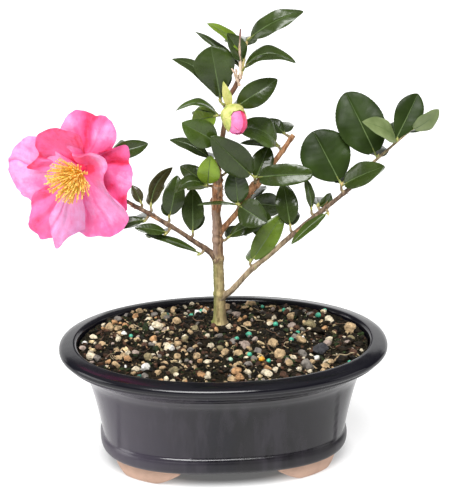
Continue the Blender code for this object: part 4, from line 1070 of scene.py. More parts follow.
DEAD_BARK = ((0.12, 0.06, 0.045), (0.44, 0.3, 0.21), (0.72, 0.57, 0.43), (0.88, 0.78, 0.64))
PURPLE_BARK = ((0.05, 0.02, 0.02), (0.13, 0.055, 0.05), (0.22, 0.11, 0.09), (0.4, 0.25, 0.2))
# For each limb the stretch where its bark flakes, its number of flakes, and its bark unless that is rusty
LIMB_BARKS = {
    # The trunk's darker right side is painted shade; its left is its own green, then pale pink higher up
    "trunk": (0.46, 0.62, 46, PALE_BARK,
              (118.0, 128.0, BROWN_BARK, (-1.2, (0.46, 0.33, 0.26), (0.17, 0.078, 0.045))),
              (-1.6, (0.13, 0.17, 0.025), (0.1, 0.062, 0.033))),
    "right": (0.4, 0.9, 5, GREY_BARK, (132.0, 142.0, SHADED_BARK)),
    "left": (0.3, 0.7, 5, DARK_BARK),
    "middle": (0.3, 0.56, 30),
}


def make_limbs(settings):
    """The trunk and the three boughs, each with its own bark, and their loose flakes."""
    draws = np.random.default_rng(settings.seed)
    rusty = bark_look("rusty_bark", RUSTY_BARK)
    for limb, (low, high, count, *bark) in LIMB_BARKS.items():
        heap = Heap()
        capped(heap, limb_rings(limb, settings))
        make_flakes(heap, limb, low, high, count, draws)
        look = bark_look(limb + "_bark", *bark) if bark else rusty
        name, node = (limb + "_bough_wood", "bough_" + limb) if limb != "trunk" else ("trunk_wood", "trunk")
        heap.place(name, [look, rusty], 70, "bark", node)


# Shoots and leaves
# How a leaf lies where its own row says nothing else. roll turns its face about its run, twist turns it on
# towards the tip, and partner is how far behind it a second leaf stands, all in degrees. facing is the way
# that its face looks. arch, wave and notch are shares of its size and fold is a slope. widest and blunt
# shape its outline. back shows its underside.
PLAIN_LEAF = {"roll": 0, "arch": 0.06, "fold": 0.2, "twist": 0, "partner": 0, "facing": TOWARD,
              "tone": "dark", "widest": 0.45, "blunt": 0.68, "wave": 0.02, "notch": 0.0, "back": False}


def leaf(root, clock, lean, length, width, **more):
    """One leaf: where it leaves its shoot, how it points, its size and what it has unlike a plain one."""
    row = dict(root=root, clock=clock, lean=lean, length=length, width=width)
    return {**PLAIN_LEAF, **row, **more}


def twig(root, clock, lean, length, thick):
    """A bare twig of a shoot, dead or broken off."""
    return dict(root=root, clock=clock, lean=lean, length=length, thick=thick, partner=0)


def shoot(limb, along, clock, lean, length, *leaves):
    """A stem that leaves a limb, or goes on from its end, with the leaves that it carries."""
    return dict(limb=limb, along=along, clock=clock, lean=lean, length=length, leaves=leaves)


SHOOTS = {
    "leaves_crown_tip": shoot("trunk", 1, 80, 0, 19,
        leaf(1, 27, 8, 38, 13, roll=-20, arch=0.16, wave=0.05),
        leaf(0.02, 9, 10, 33, 15, roll=-50, arch=0.3),
        leaf(0.5, 139, 10, 30, 11, roll=50, arch=0.12, partner=55, tone="bright"),
        leaf(0.33, 121, 25, 21, 12, roll=25, arch=0.05, fold=0.5),
        leaf(0.11, 141, -5, 36, 9, roll=55, arch=0.04),
        leaf(0.8, 90, -72, 31, 14, facing=(0.1, 0.4, 0.9)),
        leaf(0.3, 170, -66, 31, 14, facing=(-0.1, 0.5, 0.8)),
        twig(-0.2, 91, 15, 30, 0.95),
        twig(-0.42, 104, 22, 11, 0.95),
        twig(-0.4, 116, 30, 12, 0.8)),
    "leaves_crown_right": shoot("trunk", 0.87, 10, 10, 2,
        leaf(1, 33, 5, 31, 15, roll=5, arch=0.15, partner=50)),
    "leaves_crown_left": shoot("trunk", 0.875, 130, 30, 2,
        leaf(0.9, 101, 20, 35, 25, roll=5, arch=0.05, partner=60, widest=0.68, blunt=0.56),
        leaf(0.5, 138, -8, 41, 11, roll=35, arch=0.22)),
    "leaves_bud": shoot("trunk", 0.845, 190, 25, 2,
        leaf(0.9, 174, 5, 26, 10, roll=60, arch=0.27, partner=50, tone="mid"),
        leaf(1, 190, -24, 18, 16, arch=0.04, tone="bright")),
    "leaves_heart": shoot("trunk", 0.73, 120, 60, 1.5,
        leaf(1, 153, 28, 28, 17, arch=0.06, tone="mid")),
    "leaves_heart_low": shoot("trunk", 0.66, 175, -10, 1.5,
        leaf(1, 154, -8, 29, 10, roll=40, arch=0.12, partner=50)),
    "leaves_trunk_left": shoot("trunk", 0.556, 170, 15, 2,
        leaf(1, 193, 5, 21, 11, roll=45, arch=0.3, partner=50),
        leaf(0.7, 145, -15, 22, 11, roll=10, arch=0.12),
        leaf(1, 84, 32, 21, 14, arch=0.12, tone="bright")),
    "leaves_trunk_right": shoot("trunk", 0.6, 40, -10, 2,
        leaf(1, 66, 12, 13, 9, arch=0.08, tone="bright"),
        leaf(0.6, 40, -62, 28, 13, facing=(0.3, 0.4, 0.8))),
    "leaves_trunk_low": shoot("trunk", 0.34, 40, 20, 2,
        leaf(1, 20, 12, 25, 9, roll=-50, arch=0.12, twist=80, partner=60)),
    "leaves_middle_low": shoot("middle", 0.27, 95, 65, 4.5,
        leaf(1, -33, 25, 23, 18, roll=10, fold=0.35),
        leaf(0.5, 96, 14, 24, 15, tone="glossy"),
        leaf(1, 181, 24, 27, 6, roll=68, arch=0.04)),
    "leaves_middle_back": shoot("middle", 0.34, -30, -50, 4,
        leaf(1, -62, -18, 27, 15),
        leaf(0.8, -5, -38, 27, 15),
        leaf(0.6, 50, -60, 28, 14, facing=(0.1, 0.6, 0.7))),
    "leaves_middle_front": shoot("middle", 0.5, 100, 65, 6,
        leaf(1, 138, 32, 42, 19, roll=-8, arch=0.04),
        leaf(0.3, 68, -14, 24, 14),
        leaf(1, 3, 12, 36, 14, roll=-10, arch=0.07, partner=62, blunt=0.36)),
    "leaves_middle_high": shoot("middle", 0.85, 120, 30, 1.5,
        leaf(1, 159, 10, 30, 21, roll=36, arch=0.25, partner=55, widest=0.37, tone="mid"),
        leaf(0.6, 175, 4, 24, 7, roll=50)),
    "leaves_middle_tip": shoot("middle", 0.97, 150, -15, 2,
        leaf(1, 142, -10, 15, 9, roll=20, arch=0.12),
        leaf(1, 100, -70, 28, 13, facing=(0.1, 0.5, 0.8))),
    "leaves_right_foot": shoot("right", 0.25, 100, 30, 1,
        leaf(1, 56, 8, 38, 14, partner=58, tone="light")),
    "leaves_right_low": shoot("right", 0.52, 95, 0, 2,
        leaf(1, 99, -6, 28, 14, partner=55)),
    "leaves_right_inner": shoot("right", 0.66, 95, 20, 2,
        leaf(1, 102, 8, 20, 8, roll=45)),
    "leaves_right_fork": shoot("right", 0.73, -45, 40, 1,
        leaf(1, 221, 14, 31, 9, roll=50, arch=0.03, tone="mid")),
    "leaves_right_back": shoot("right", 0.7, 120, -30, 1,
        leaf(1, 47, -12, 12, 8, roll=30, arch=0.24),
        leaf(0.8, 95, -76, 30, 14, facing=(0.2, 0.6, 0.7))),
    "leaves_right_mid": shoot("right", 0.85, 95, 15, 3,
        leaf(1, 117, -4, 37, 31, arch=0.04, fold=0.1, partner=55, widest=0.54, blunt=0.52, notch=0.08,
             tone="matt"),
        leaf(0.7, 24, 26, 31, 16, roll=-30, fold=0.3)),
    "leaves_right_tip": shoot("right", 1, 41, 2, 35,
        leaf(0.24, 115, -6, 45, 29, arch=0.04, fold=0.1, partner=55, widest=0.5, blunt=0.54, tone="matt"),
        leaf(0.68, 154, 35, 30, 15, roll=40, arch=0.12, back=True),
        leaf(0.6, 64, -5, 35, 17, partner=50, widest=0.6, tone="matt"),
        leaf(1, 36, 12, 21, 13, roll=40, arch=0.1, back=True),
        leaf(0.9, 20, -60, 28, 13, facing=(0.4, 0.5, 0.7))),
    "leaves_left_under": shoot("left", 0.12, 225, 20, 1.5,
        leaf(1, 161, 8, 37, 8, roll=55, arch=0.05)),
    "leaves_left_first": shoot("left", 0.245, 95, 10, 1.2,
        leaf(1, 90, 0, 28, 14, partner=55)),
    "leaves_left_second": shoot("left", 0.43, 100, 10, 1.4,
        leaf(1, 79, 6, 27, 14, roll=10, arch=0.08, partner=55)),
    "leaves_left_low": shoot("left", 0.4, -120, 20, 2,
        leaf(1, 172, 15, 21, 8, roll=30, arch=0.06),
        leaf(0.7, 195, -62, 28, 13, facing=(-0.3, 0.5, 0.7))),
    "leaves_left_third": shoot("left", 0.57, 105, 0, 2,
        leaf(1, 61, 5, 28, 10, roll=40, arch=-0.22, partner=50, tone="brown")),
    "leaves_left_end": shoot("left", 0.64, 110, 20, 1,
        leaf(1, 117, 0, 13, 7, roll=20, tone="brown")),
    "leaves_left_tip": shoot("left", 0.57, -120, 0, 1.5,
        leaf(1, 194, 4, 22, 8, roll=30),
        leaf(0.7, 170, -72, 28, 13, facing=(-0.3, 0.5, 0.7))),
    "leaves_bloom": shoot("left", 0.96, 78, -12, 17,
        leaf(1, 15, -4, 25, 11, roll=10, partner=35),
        leaf(0.5, 60, -45, 28, 13, facing=(-0.1, 0.8, 0.5))),
}
# The tones of leaves: colour, how rough their skin is against the others and how much it shines
LEAF_TONES = {
    "dark": ((0.027, 0.045, 0.0065), 1.0, 0.4), "mid": ((0.04, 0.068, 0.009), 1.0, 0.4),
    "light": ((0.085, 0.135, 0.013), 1.1, 0.35), "bright": ((0.15, 0.23, 0.018), 1.1, 0.35),
    "brown": ((0.055, 0.05, 0.018), 1.0, 0.4), "matt": ((0.019, 0.035, 0.0055), 1.5, 0.12),
    "glossy": ((0.027, 0.047, 0.009), 0.6, 0.5),
}
# The other tissues of a leaf: name, colour, roughness, scale of their mottling and its stops
LEAF_TISSUES = (
    ("leaf_underside", (0.15, 0.2, 0.07), 0.5, 90.0, ((0.3, (0.1, 0.14, 0.04)), (0.7, (0.2, 0.25, 0.1)))),
    ("leaf_rib", (0.075, 0.12, 0.03), 0.4, 200.0, ((0.3, (0.05, 0.085, 0.02)), (0.7, (0.11, 0.165, 0.05)))),
    ("leaf_stalk", (0.15, 0.19, 0.03), 0.5, 160.0, ((0.3, (0.09, 0.12, 0.02)), (0.7, (0.24, 0.26, 0.05)))),
)
TONE_SLOTS = list(LEAF_TONES)
UNDER_SLOT, RIB_SLOT, STALK_SLOT = 7, 8, 9
# The steps of a leaf's columns from beside its midrib to its edge
LEAF_STEPS = np.array([0.0, 0.14, 0.3, 0.47, 0.64, 0.8, 0.92, 1.0])
# A bud in a leaf's axil, turned about its axis: heights and radii
AXIL_BUD = ((-0.4, 0.3, 1.0, 1.8, 2.6, 3.1), (0.35, 0.75, 0.85, 0.66, 0.3, 0.06))


def shoot_stem(row):
    """The stem of a shoot, as its three points and its radius."""
    direction = seen(row["clock"], row["lean"])
    start, away, radius = limb_exit(row["limb"], row["along"], direction)
    if row["along"] == 1.0:
        first, thick = start + away * 2.0, radius * 0.85
    else:
        first, thick = start + away * 1.0, STEM_RADIUS
    return np.array([start, first, first + direction * row["length"]]), thick


def all_leaves():
    """Every leaf with its shoot's name and its place: those that show, then their partners behind.

    A partner is drawn by chance until a draw matches one whose tip the frame's node holds.
    """
    draws = random.Random(PARTNER_SEED)
    shown, partners = [], []
    for name, row in SHOOTS.items():
        points = shoot_stem(row)[0]
        run = points[2] - points[1]
        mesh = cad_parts[name].data
        held = np.empty(len(mesh.vertices) * 3, np.float32)
        mesh.vertices.foreach_get("co", held)
        held = held.reshape(-1, 3) / MM
        for blade in row["leaves"]:
            shown.append((name, points[1] + run * blade["root"], blade))
            if not blade["partner"]:
                continue
            base = points[1] + run * min(blade["root"], 0.8)
            for _ in range(PARTNER_DRAWS):
                lean = blade["lean"] - blade["partner"] + draws.uniform(-12, 8)
                partner = dict(blade, lean=lean, clock=blade["clock"] + draws.uniform(-7, 7),
                               length=blade["length"] * draws.uniform(0.8, 0.95),
                               width=max(13.0, blade["width"] * 0.8), roll=draws.uniform(-15, 15),
                               facing=(0, 0.65, 0.75), arch=0.07, back=False, notch=0.0)
                tip = base + seen(partner["clock"], lean) * partner["length"]
                if np.linalg.norm(held - tip, axis=1).min() < 0.02:
                    partners.append((name, base, partner))
                    break
    return shown + partners


def leaf_half_width(share, width, blunt, widest):
    """Half the width of the blade: the sine of pi times a power of the share, raised to its bluntness."""
    power = math.log(0.5) / math.log(widest)
    return 0.5 * width * np.sin(np.pi * np.clip(share, 0.0, 1.0) ** power).clip(0.0) ** blunt


def leaf_axes(row):
    """The leaf's run and the way its face looks."""
    direction = seen(row["clock"], row["lean"])
    facing = unit(row["facing"] - direction * np.dot(row["facing"], direction))
    return direction, turned(facing, direction, math.radians(row["roll"]))


def midrib_line(base, row, share):
    """The arched line of the midrib."""
    direction, facing = leaf_axes(row)
    share = np.asarray(share)[..., None]
    rise = row["arch"] * 4 * share * (1 - share)
    return base + direction * row["length"] * share + facing * row["length"] * rise


def add_leaf(heap, base, row, settings, phase):
    """A blade and its stalk.

    Over s, stalk to tip, and t, edge to edge, the blade is the midrib line plus across times
    t times the half width, lifted by the fold, waved along its edge and furrowed by side
    veins that slant forward. The midrib is a groove above and a rib below.
    """
    s = 1.0 - (1.0 - np.linspace(0.02, 0.999, settings.rows)) ** 1.35
    share = STALK_SHARE + (1.0 - STALK_SHARE) * s
    half = leaf_half_width(s, row["width"], row["blunt"], row["widest"])
    teeth = np.abs((s * 19 + phase) % 1.0 - 0.5) * 2
    half = half * (1.0 + 0.025 * (teeth - 0.5) * smoothstep(0.08, 0.3, s))
    direction, facing = leaf_axes(row)
    up = turned(facing, direction, np.radians(row["twist"] * share))
    s, share, half, up = s[:, None], share[:, None], half[:, None], up[:, None]
    side = np.cross(direction, up)
    rib = np.minimum(0.32, (settings.rib_width * 0.5 * (1.15 - s)) / np.maximum(half, 0.2))
    right = rib + (1.0 - rib) * LEAF_STEPS
    t = np.concatenate([-right[:, ::-1], 0 * s, right], axis=1)
    wide = np.abs(t)
    across = half * t
    ripple = np.sin(2 * np.pi * (2.3 * s + 0.37 * phase) + 1.3 * np.sign(t))
    lift = half * (row["fold"] * wide - 0.1 * wide ** 5) + row["width"] * row["wave"] * ripple * t ** 2
    share = share - row["notch"] * (bump(t, 0.25, 0.2) * smoothstep(0.8, 1.0, s))
    veins = np.cos(2 * np.pi * (9.0 * s - 1.5 * wide + 0.5 * (t > 0)))
    furrow = settings.vein_depth * veins * smoothstep(0.05, 0.3, wide) * (1 - wide ** 4)
    furrow = furrow * np.minimum(1, half / 4)
    groove = -0.16 * (wide < 1e-6) * (1 - 0.6 * s)
    thick = settings.leaf_thick * 0.5 * (1.0 - 0.35 * wide ** 3)
    keel = 0.5 * bump(across, 0.0, 0.55) * (1.05 - s)
    middle = midrib_line(base, row, share) + side * across[..., None] + up * lift[..., None]
    face = -1.0 if row["back"] else 1.0
    upper = middle + up * (face * (thick + furrow + groove))[..., None]
    under = middle - up * (face * (thick + keel - 0.6 * furrow))[..., None]
    centre = len(LEAF_STEPS)
    column = np.tile(np.arange(2 * centre), settings.rows - 1)
    on_rib = (column == centre) | (column == centre - 1)
    skins = [np.where(on_rib, RIB_SLOT, slot) for slot in (TONE_SLOTS.index(row["tone"]), UNDER_SLOT)]
    add_slab(heap, upper, under, (*skins, RIB_SLOT))
    line = midrib_line(base, row, np.linspace(0.0, STALK_SHARE + 0.09, 9)) - up[:9, 0] * (0.1 * face)
    capped(heap, tube_rings(line, np.linspace(0.62, 0.42, 9), 9, facing + 0.01), STALK_SLOT)


def leaf_look(tone, colour, roughness, shine):
    """The waxy upper side of a leaf: deep green, a little uneven, with a soft clear shine."""
    tints = ((0.3, 0.7), (0.5, 1.0), (0.72, 1.4))
    look = mottled("leaf_" + tone, colour, roughness, 62.0, tints, shine=shine)
    rough = range_of(look, noise_of(look, 200.0), 0.3, 0.7, roughness * 0.75, roughness * 1.4)
    return wear(look, None, rough, noise_of(look, 420.0, detail=2.0), 0.00008, 0.5)


def leaf_looks(settings):
    """The materials of the leaves, in the order of their slots."""
    looks = [leaf_look(tone, colour, settings.leaf_roughness * share, shine)
             for tone, (colour, share, shine) in LEAF_TONES.items()]
    return looks + [mottled(*tissue) for tissue in LEAF_TISSUES]


def make_leaves(settings):
    """The leaves, joined into one piece for each limb that carries them."""
    looks = leaf_looks(settings)
    heaps = {limb: Heap() for limb in LIMB_LINES}
    for number, (name, base, blade) in enumerate(all_leaves()):
        if "thick" not in blade:
            add_leaf(heaps[SHOOTS[name]["limb"]], base, blade, settings, (number * 0.618) % 1.0)
    for limb, heap in heaps.items():
        nodes = [name for name, row in SHOOTS.items() if row["limb"] == limb]
        heap.place(limb + "_foliage", looks, 48, "leaf", *nodes)


def make_twigs():
    """The stems of the shoots, the bare twigs and the small pointed buds in the leaf axils."""
    green, woody, dead = Heap(), Heap(), Heap()
    share, along = evenly(24), evenly(16)
    for name, row in SHOOTS.items():
        points, thick = shoot_stem(row)
        inner = points[0] - unit(points[1] - points[0]) * 1.2
        radii = thick * (1.0 - 0.28 * share) * (1 + 0.25 * np.exp(-share * 9))
        rings = tube_rings(spline([inner, *points], len(share)), radii, 12)
        capped(green if row["length"] > 10 else woody, rings, 0 if "crown" in name else 1)
        for number, blade in enumerate(row["leaves"]):
            base = points[1] + (points[2] - points[1]) * blade["root"]
            way = seen(blade["clock"], blade["lean"])
            if "thick" in blade:
                sway = 0.5 * np.sin(along * 7 + number)[:, None] * ACROSS
                sway = sway + 0.4 * np.cos(along * 9)[:, None] * TOWARD
                line = base + way * (blade["length"] * along)[:, None] + sway * along[:, None]
                radii = blade["thick"] * (1 - 0.4 * along) * (1 + 0.25 * np.sin(along * 23 + 1))
                capped(dead, tube_rings(line, radii, 10))
            else:
                tip = unit(way * 0.7 + unit(points[2] - points[1]) * 0.9)
                capped(green, lathe_rings(base + tip * 0.3, tip, *AXIL_BUD, 8))
    shades = ((0.32, (0.2, 0.24, 0.05)), (0.5, (0.4, 0.4, 0.12)), (0.7, (0.5, 0.34, 0.16)))
    stems = [mottled("young_stem", (0.34, 0.36, 0.1), 0.5, 420.0, shades, (1, 1, 0.4)),
             bark_look("older_stem", YOUNG_BARK)]
    green.place("young_stems", stems, 60, "leaf")
    woody.place("short_stems", stems, 60, "leaf")
    pale = bark_look("dead_twig", DEAD_BARK, (261.0, 266.0, PURPLE_BARK))
    dead.place("dead_twigs", [pale], 60, "bark")


# Bloom
def petal(shift, belly, rim, **more):
    """One petal of the bloom: how far it is shifted from the heart, its belly and its rim's stations.

    A station is a clock angle, a reach and a height. folds are creases as (clock, width, depth),
    marks are patches as (across, up, size, rose), where rose below nothing is paler. The deeper patches in
    hollows and folds are painted shade and the pale ones on ridges painted highlight.
    """
    return {"shift": shift, "belly": belly, "rim": rim, "rose": 0.15, "throat": 0.75, "ruffle": 1.0,
            "roll": 0.6, "folds": (), "marks": (), **more}


# The upper left petal's deep rose, the rose patches in the folds and hollows of the top and right petals and
# the deeper rose along every fold are painted shade; the pale patches on the lower right petal's ridge are
# painted highlight.
PETALS = {
    "left": petal((0, 0), 2.5, (
        (146, 30, 0), (149, 38, -1), (160, 44, -2), (169, 46.9, -2.5), (175.5, 47.2, -2.5), (183, 46.5, -2.5),
        (190.5, 45.1, -2.5), (199, 42.3, -2), (210, 38.6, -1.5), (222, 34, -1)),
        rose=0.06, ruffle=0.6, folds=((174.5, 1.4, 1.5),),
        marks=((-30, 16, 7, 0.1), (-24, -10, 8, 0.3), (-38, 12, 8, -0.06))),
    "upper_left": petal((0, 0), -1.5, (
        (80, 13, 5), (92, 19.6, 8), (112, 24.2, 9), (122, 28.6, 9), (134, 31.4, 9), (142, 33.3, 8),
        (152, 31.5, 7.5), (160, 27.8, 7), (170, 30, 7), (177.5, 34, 6), (182, 25, 5)),
        rose=0.68, ruffle=0.5, folds=((162.5, 4.0, 2.6),),
        marks=((-14, 6, 7, -0.3), (-33, 2, 4, 0.25), (-24, 12, 8, 0.08))),
    "top": petal((0, 0), 1.0, (
        (126, 24, 1), (118, 27.4, 2), (109, 30.4, 2.5), (102, 32.8, 3), (95, 33.9, 3), (86, 33.4, 2),
        (79, 32.8, 0.5), (73.5, 31.6, 0), (68, 33.2, 1.5), (62, 33.7, 3), (53, 32.5, 4), (45.5, 30.5, 4),
        (37, 27.1, 3), (29, 21, 1.5)),
        rose=0.14, ruffle=0.5, folds=((79, 7.0, 3.4), (60, 3.0, 1.0)),
        marks=((6, 30, 6, 0.5), (4, 22, 5, 0.45), (12, 29, 4, 0.45), (3, 14, 6, 0.5), (9, 17, 3.5, -0.35),
               (-8, 26, 5, -0.1), (17, 22, 6, -0.1), (15, 12, 5, 0.5))),
    "right": petal((0, 0), -2.5, (
        (40, 14, 4), (35, 18, 5), (30.5, 23.3, 6), (25.5, 30.9, 6), (15, 31.2, 5), (7, 29.1, 3.5),
        (0, 30.6, 5), (-10, 31.7, 6), (-20, 32.5, 5.5), (-28, 32.3, 4.5), (-36, 35, 3), (-42, 37.2, 2),
        (-46, 31, 1)),
        rose=0.2, ruffle=1.4, folds=((7, 4.0, 2.8),),
        marks=((16, 9, 6, 0.5), (24, 10, 6, 0.3), (23, 2.5, 5, 0.5), (29, 3, 4, 0.35), (22, -6, 6, -0.12),
               (18, -11, 4.5, 0.7), (25, -19, 5, 0.75), (29, -11, 4, -0.1))),
    "lower_left": petal((-1.2, -5), 1.5, (
        (197, 24, 2), (201, 31.5, 3), (208, 35.3, 2), (213, 37.4, 1), (219, 42.3, 1.5), (223.5, 45.1, 2.5),
        (231, 45.5, 1), (238.5, 45.3, -1), (245, 41.5, -1)),
        rose=0.42, ruffle=1.5, folds=((209, 3.0, 1.2), (226, 4.0, 1.6)),
        marks=((-24, -13, 6, 0.4), (-30, -32, 5, 0.25), (-25, -28, 5, -0.1), (-20, -38, 5, 0.2))),
    "bottom": petal((-1.2, -5), 3.0, (
        (228, 22, 3), (231, 30.5, 4), (238.5, 37, 4), (245.5, 42.6, 3), (249.5, 47, 1.5), (252.5, 45.5, 2),
        (255, 41, 2.5), (260, 37, 2.5), (267, 34, 2), (275, 32, 1)),
        rose=0.03, ruffle=1.1, folds=((240, 2.0, 0.7),),
        marks=((-16, -44, 5, 0.15), (-8, -33, 5, 0.1), (-20, -26, 4, 0.12))),
    "lower_right": petal((-1.2, -6), -3.0, (
        (107, 15.5, 5), (88, 13.4, 7), (65, 16, 9), (48, 17.8, 9.5), (32, 18.9, 9.5), (18, 18.1, 9.5),
        (4, 15.4, 9.5), (-12, 15.6, 9.5), (-25, 18.6, 9), (-33, 24.5, 8), (-35, 31, 6.5), (-38, 37.3, 4),
        (-46, 39.6, 2), (-55, 40, 0.5), (-65, 39.6, -0.5), (-75, 36.8, -0.5), (-83, 36.4, 0), (-93, 32.3, 1)),
        rose=0.12, throat=0.6, ruffle=1.4, roll=2.2, folds=((-84, 3.0, 1.0), (-62, 2.5, 1.2)),
        marks=((13, 6, 4.5, -0.45), (6, 9, 4, -0.25), (16, 0, 4, -0.3), (5, 0, 4.5, 0.5), (10, -9, 5, -0.1),
               (13, -16, 4, -0.1), (20, -28, 7, -0.08), (22, -38, 5, 0.35), (12, -40, 5, 0.35),
               (5, -33, 6, 0.25))),
}
PETAL_ROWS, PETAL_COLUMNS = 44, 61
# The cup under the petals and the tube of the tuft, turned about the bloom's axis: heights and radii
CUP_TURNED = ((-6.5, -5.8, -5.0, -4.0, -3.0, -1.8, -0.5, 0.5, 1.5, 3.5, 6.2),
              (1.4, 2.9, 4.0, 4.9, 5.4, 5.2, 4.6, 3.6, 2.6, 1.8, 1.5))
TUBE_TURNED = ((0.0, 1.0, 3.0, 7.0, 11.0, 13.0), (1.8, 2.6, 3.7, 6.4, 8.0, 2.8))
# The golden angle as a share of half a turn, which spaces the stamens evenly
GOLDEN_SHARE = 3 - math.sqrt(5)
# The bud: its core and its green cup turned about its axis, then its petals (middle, half turn, rose) and its
# scales (middle, half turn, height of the tip)
BUD_CORE = ((6.5, 8.0, 10.0, 13.0, 16.0, 18.0), (5.4, 5.9, 6.1, 5.6, 4.0, 0.9))
BUD_CUP = ((0.0, 0.7, 1.5, 2.8, 4.0, 5.5, 6.6), (1.4, 3.6, 4.9, 6.0, 6.4, 6.5, 6.0))
BUD_PETALS = ((170, 85, 0.5), (75, 80, 0.62), (-100, 80, 0.4), (35, 62, 0.95), (-15, 58, 0.28))
BUD_SCALES = ((150, 75, 12.5), (-150, 75, 13.5), (80, 62, 7.8), (20, 55, 6.8), (-70, 62, 15.6),
              (-30, 42, 8.8))
# The heights of the bud and the radii that its scales have there
SCALE_CURVE = ((0, 1.5, 4.0, 7.0, 10.0, 13.5, 16.0), (1.6, 5.2, 7.0, 7.3, 7.2, 6.8, 5.8))
BRACT_LENGTH = 15.0


def add_petal(heap, row, settings, seed):
    """A petal: a fan over u, foot to rim, and the steps of its rim.

    Its place is u times the rim's plus the shift, tilted square to the bloom's axis. It is lifted by the
    rim's height times a power of u and by the belly, creased along its folds and ruffled by lattice noise.
    """
    axis = seen(BLOOM_CLOCK, BLOOM_LEAN)
    clock, reach, height = np.array(row["rim"], float).T
    turn = np.radians(clock)
    rim = spline(np.stack([reach * np.cos(turn), reach * np.sin(turn), height], -1), PETAL_COLUMNS)
    u = PETAL_FOOT + (1.0 - PETAL_FOOT) * evenly(PETAL_ROWS)[:, None]
    clock = np.degrees(np.arctan2(rim[:, 1], rim[:, 0]))
    sway = np.radians(3.2) * grain(np.stack([36.0 * u, 0 * u + 7.0 * seed, 0 * u], -1), 8.0, 36)
    x = (rim[:, 0] * np.cos(sway) - rim[:, 1] * np.sin(sway)) * u
    y = (rim[:, 0] * np.sin(sway) + rim[:, 1] * np.cos(sway)) * u
    lift = LAYER_STEP * seed + rim[:, 2] * u ** 1.6 + 4.0 * row["belly"] * u * (1.0 - u)
    lift = lift - row["roll"] * smoothstep(0.84, 1.0, u)
    crease = 0.0 * lift
    for place, width, depth in row["folds"]:
        bell = bump((clock - place + 180.0) % 360.0 - 180.0, 0.0, width) * smoothstep(0.15, 0.8, u)
        lift, crease = lift - depth * bell, crease + bell
    flat = np.stack([x, y, 0 * x + 40.0 * seed], -1)
    wave = 0.7 * grain(flat, 9.0, 31) + 0.42 * grain(flat, 4.2, 32) + 0.12 * grain(flat, 1.8, 35)
    lift = lift + settings.ruffle * row["ruffle"] * wave * u ** 2.2
    frill = 1.0 + u ** 5 * (0.016 * grain(flat, 5.0, 33) + 0.012 * grain(flat, 2.2, 34))
    across, up = row["shift"][0] * u ** 0.5 + x * frill, row["shift"][1] * u ** 0.5 + y * frill
    tilt = -(np.dot(axis, ACROSS) * across + np.dot(axis, UPWARD) * up) / np.dot(axis, TOWARD)
    points = HEART + ACROSS * across[..., None] + UPWARD * up[..., None] + TOWARD * (tilt + lift)[..., None]
    thick = 0.5 * settings.petal_thick * (1.0 - 0.5 * smoothstep(0.7, 1.0, u + 0 * x))[..., None]
    # Deeper towards the heart, and deeper along the folds as painted shade
    rose = row["rose"] + row["throat"] * np.exp(-(across ** 2 + (up + 3.0) ** 2) / 13.0 ** 2) + 0.2 * crease
    for a, b, size, amount in row["marks"]:
        rose = rose + amount * np.exp(-((across - a) ** 2 + (up - b) ** 2) / size ** 2)
    streaks = grain(np.stack([clock + 0 * u, 3 * u + 0 * x, 0 * x + seed], -1), 2.2, 21)
    # Paler where the ruffles rise and deeper in their hollows: painted light and shade
    rose = rose + 0.07 * streaks - 0.14 * wave * u
    rose = (rose + 0.1 * u * grain(flat, 3.0, 37) + 0.1 * smoothstep(0.88, 1.0, u)).ravel()
    place = np.stack([clock / 90.0 + 0 * u, u + 0 * x], -1).reshape(-1, 2)
    add_slab(heap, points + axis * thick, points - axis * thick, (0, 0, 0),
             np.concatenate([rose, rose * 0.8 + 0.12]).clip(0.0, 1.0), np.concatenate([place, place]))


def petal_look(settings):
    """Petal tissue: pale pink to deep rose by the petal's rose value, finely veined and soft to light.

    The rose value holds the petal's own colour together with painted shade and painted highlights.
    """
    look = finish("petal", tuple(settings.rose), 0.5, depth=0.2, depth_size=0.002,
                  depth_reach=(1.0, 0.4, 0.6), shine=0.35)
    own = node_of(look, "Attribute", attribute_name="rose")
    veins = noise_of(look, 1.0, (60, 2.0, 1), detail=4.0, coords="UV")
    crease = noise_of(look, 240.0, detail=5.0, roughness=0.65)
    level = own.outputs["Fac"]
    for share, pattern in ((0.16, veins), (0.7, crease)):
        shift = node_of(look, "Math", {1: share}, operation="MULTIPLY_ADD")
        join(look, pattern, shift.inputs[0])
        join(look, level, shift.inputs[2])
        level = shift.outputs[0]
    shades = zip((0.0, 0.38, 0.78, 1.0), (settings.pale, settings.pink, settings.rose, settings.throat))
    colour = ramp_of(look, range_of(look, level, 0.41, 1.41), tuple(shades))
    return wear(look, colour, None, crease, 0.001, 0.6)


def flower_green_look():
    """The yellow-green tissue of flower cups and scales."""
    return mottled("flower_green", (0.42, 0.44, 0.12), 0.5, 260.0,
                   ((0.3, (0.26, 0.34, 0.06)), (0.5, (0.5, 0.5, 0.14)), (0.72, (0.62, 0.56, 0.24))))


def add_scale(heap, origin, axis, middle, half_turn, heights, radii, slot, thick=0.5, tip=0.15, rose=0.5):
    """A scale that wraps a turned shape: its half turn narrows to a rounded tip.

    Its turn is counted from the side that faces the viewer, towards the right.
    """
    u, v = grid_steps(18, 17)
    side = unit(TOWARD - axis * np.dot(axis, TOWARD))
    narrow = np.sqrt(np.clip(1.0 - np.clip((u - 0.45) / 0.57, 0, 1) ** 2, 0, 1)) * (1 - tip) + tip * (1 - u)
    away = spokes(side, np.cross(side, axis), math.radians(middle) + math.radians(half_turn) * v * narrow)
    height, radius = (np.interp(u, evenly(len(row)), row) for row in (heights, radii))
    upper = origin + axis * height[..., None] + away * (0.25 * np.abs(v) ** 4 * u + radius)[..., None]
    shade = rose + 0.12 * np.abs(v) ** 3 - 0.1 * u
    add_slab(heap, upper, upper - away * thick, (slot, slot, slot), np.tile(shade.ravel(), 2))


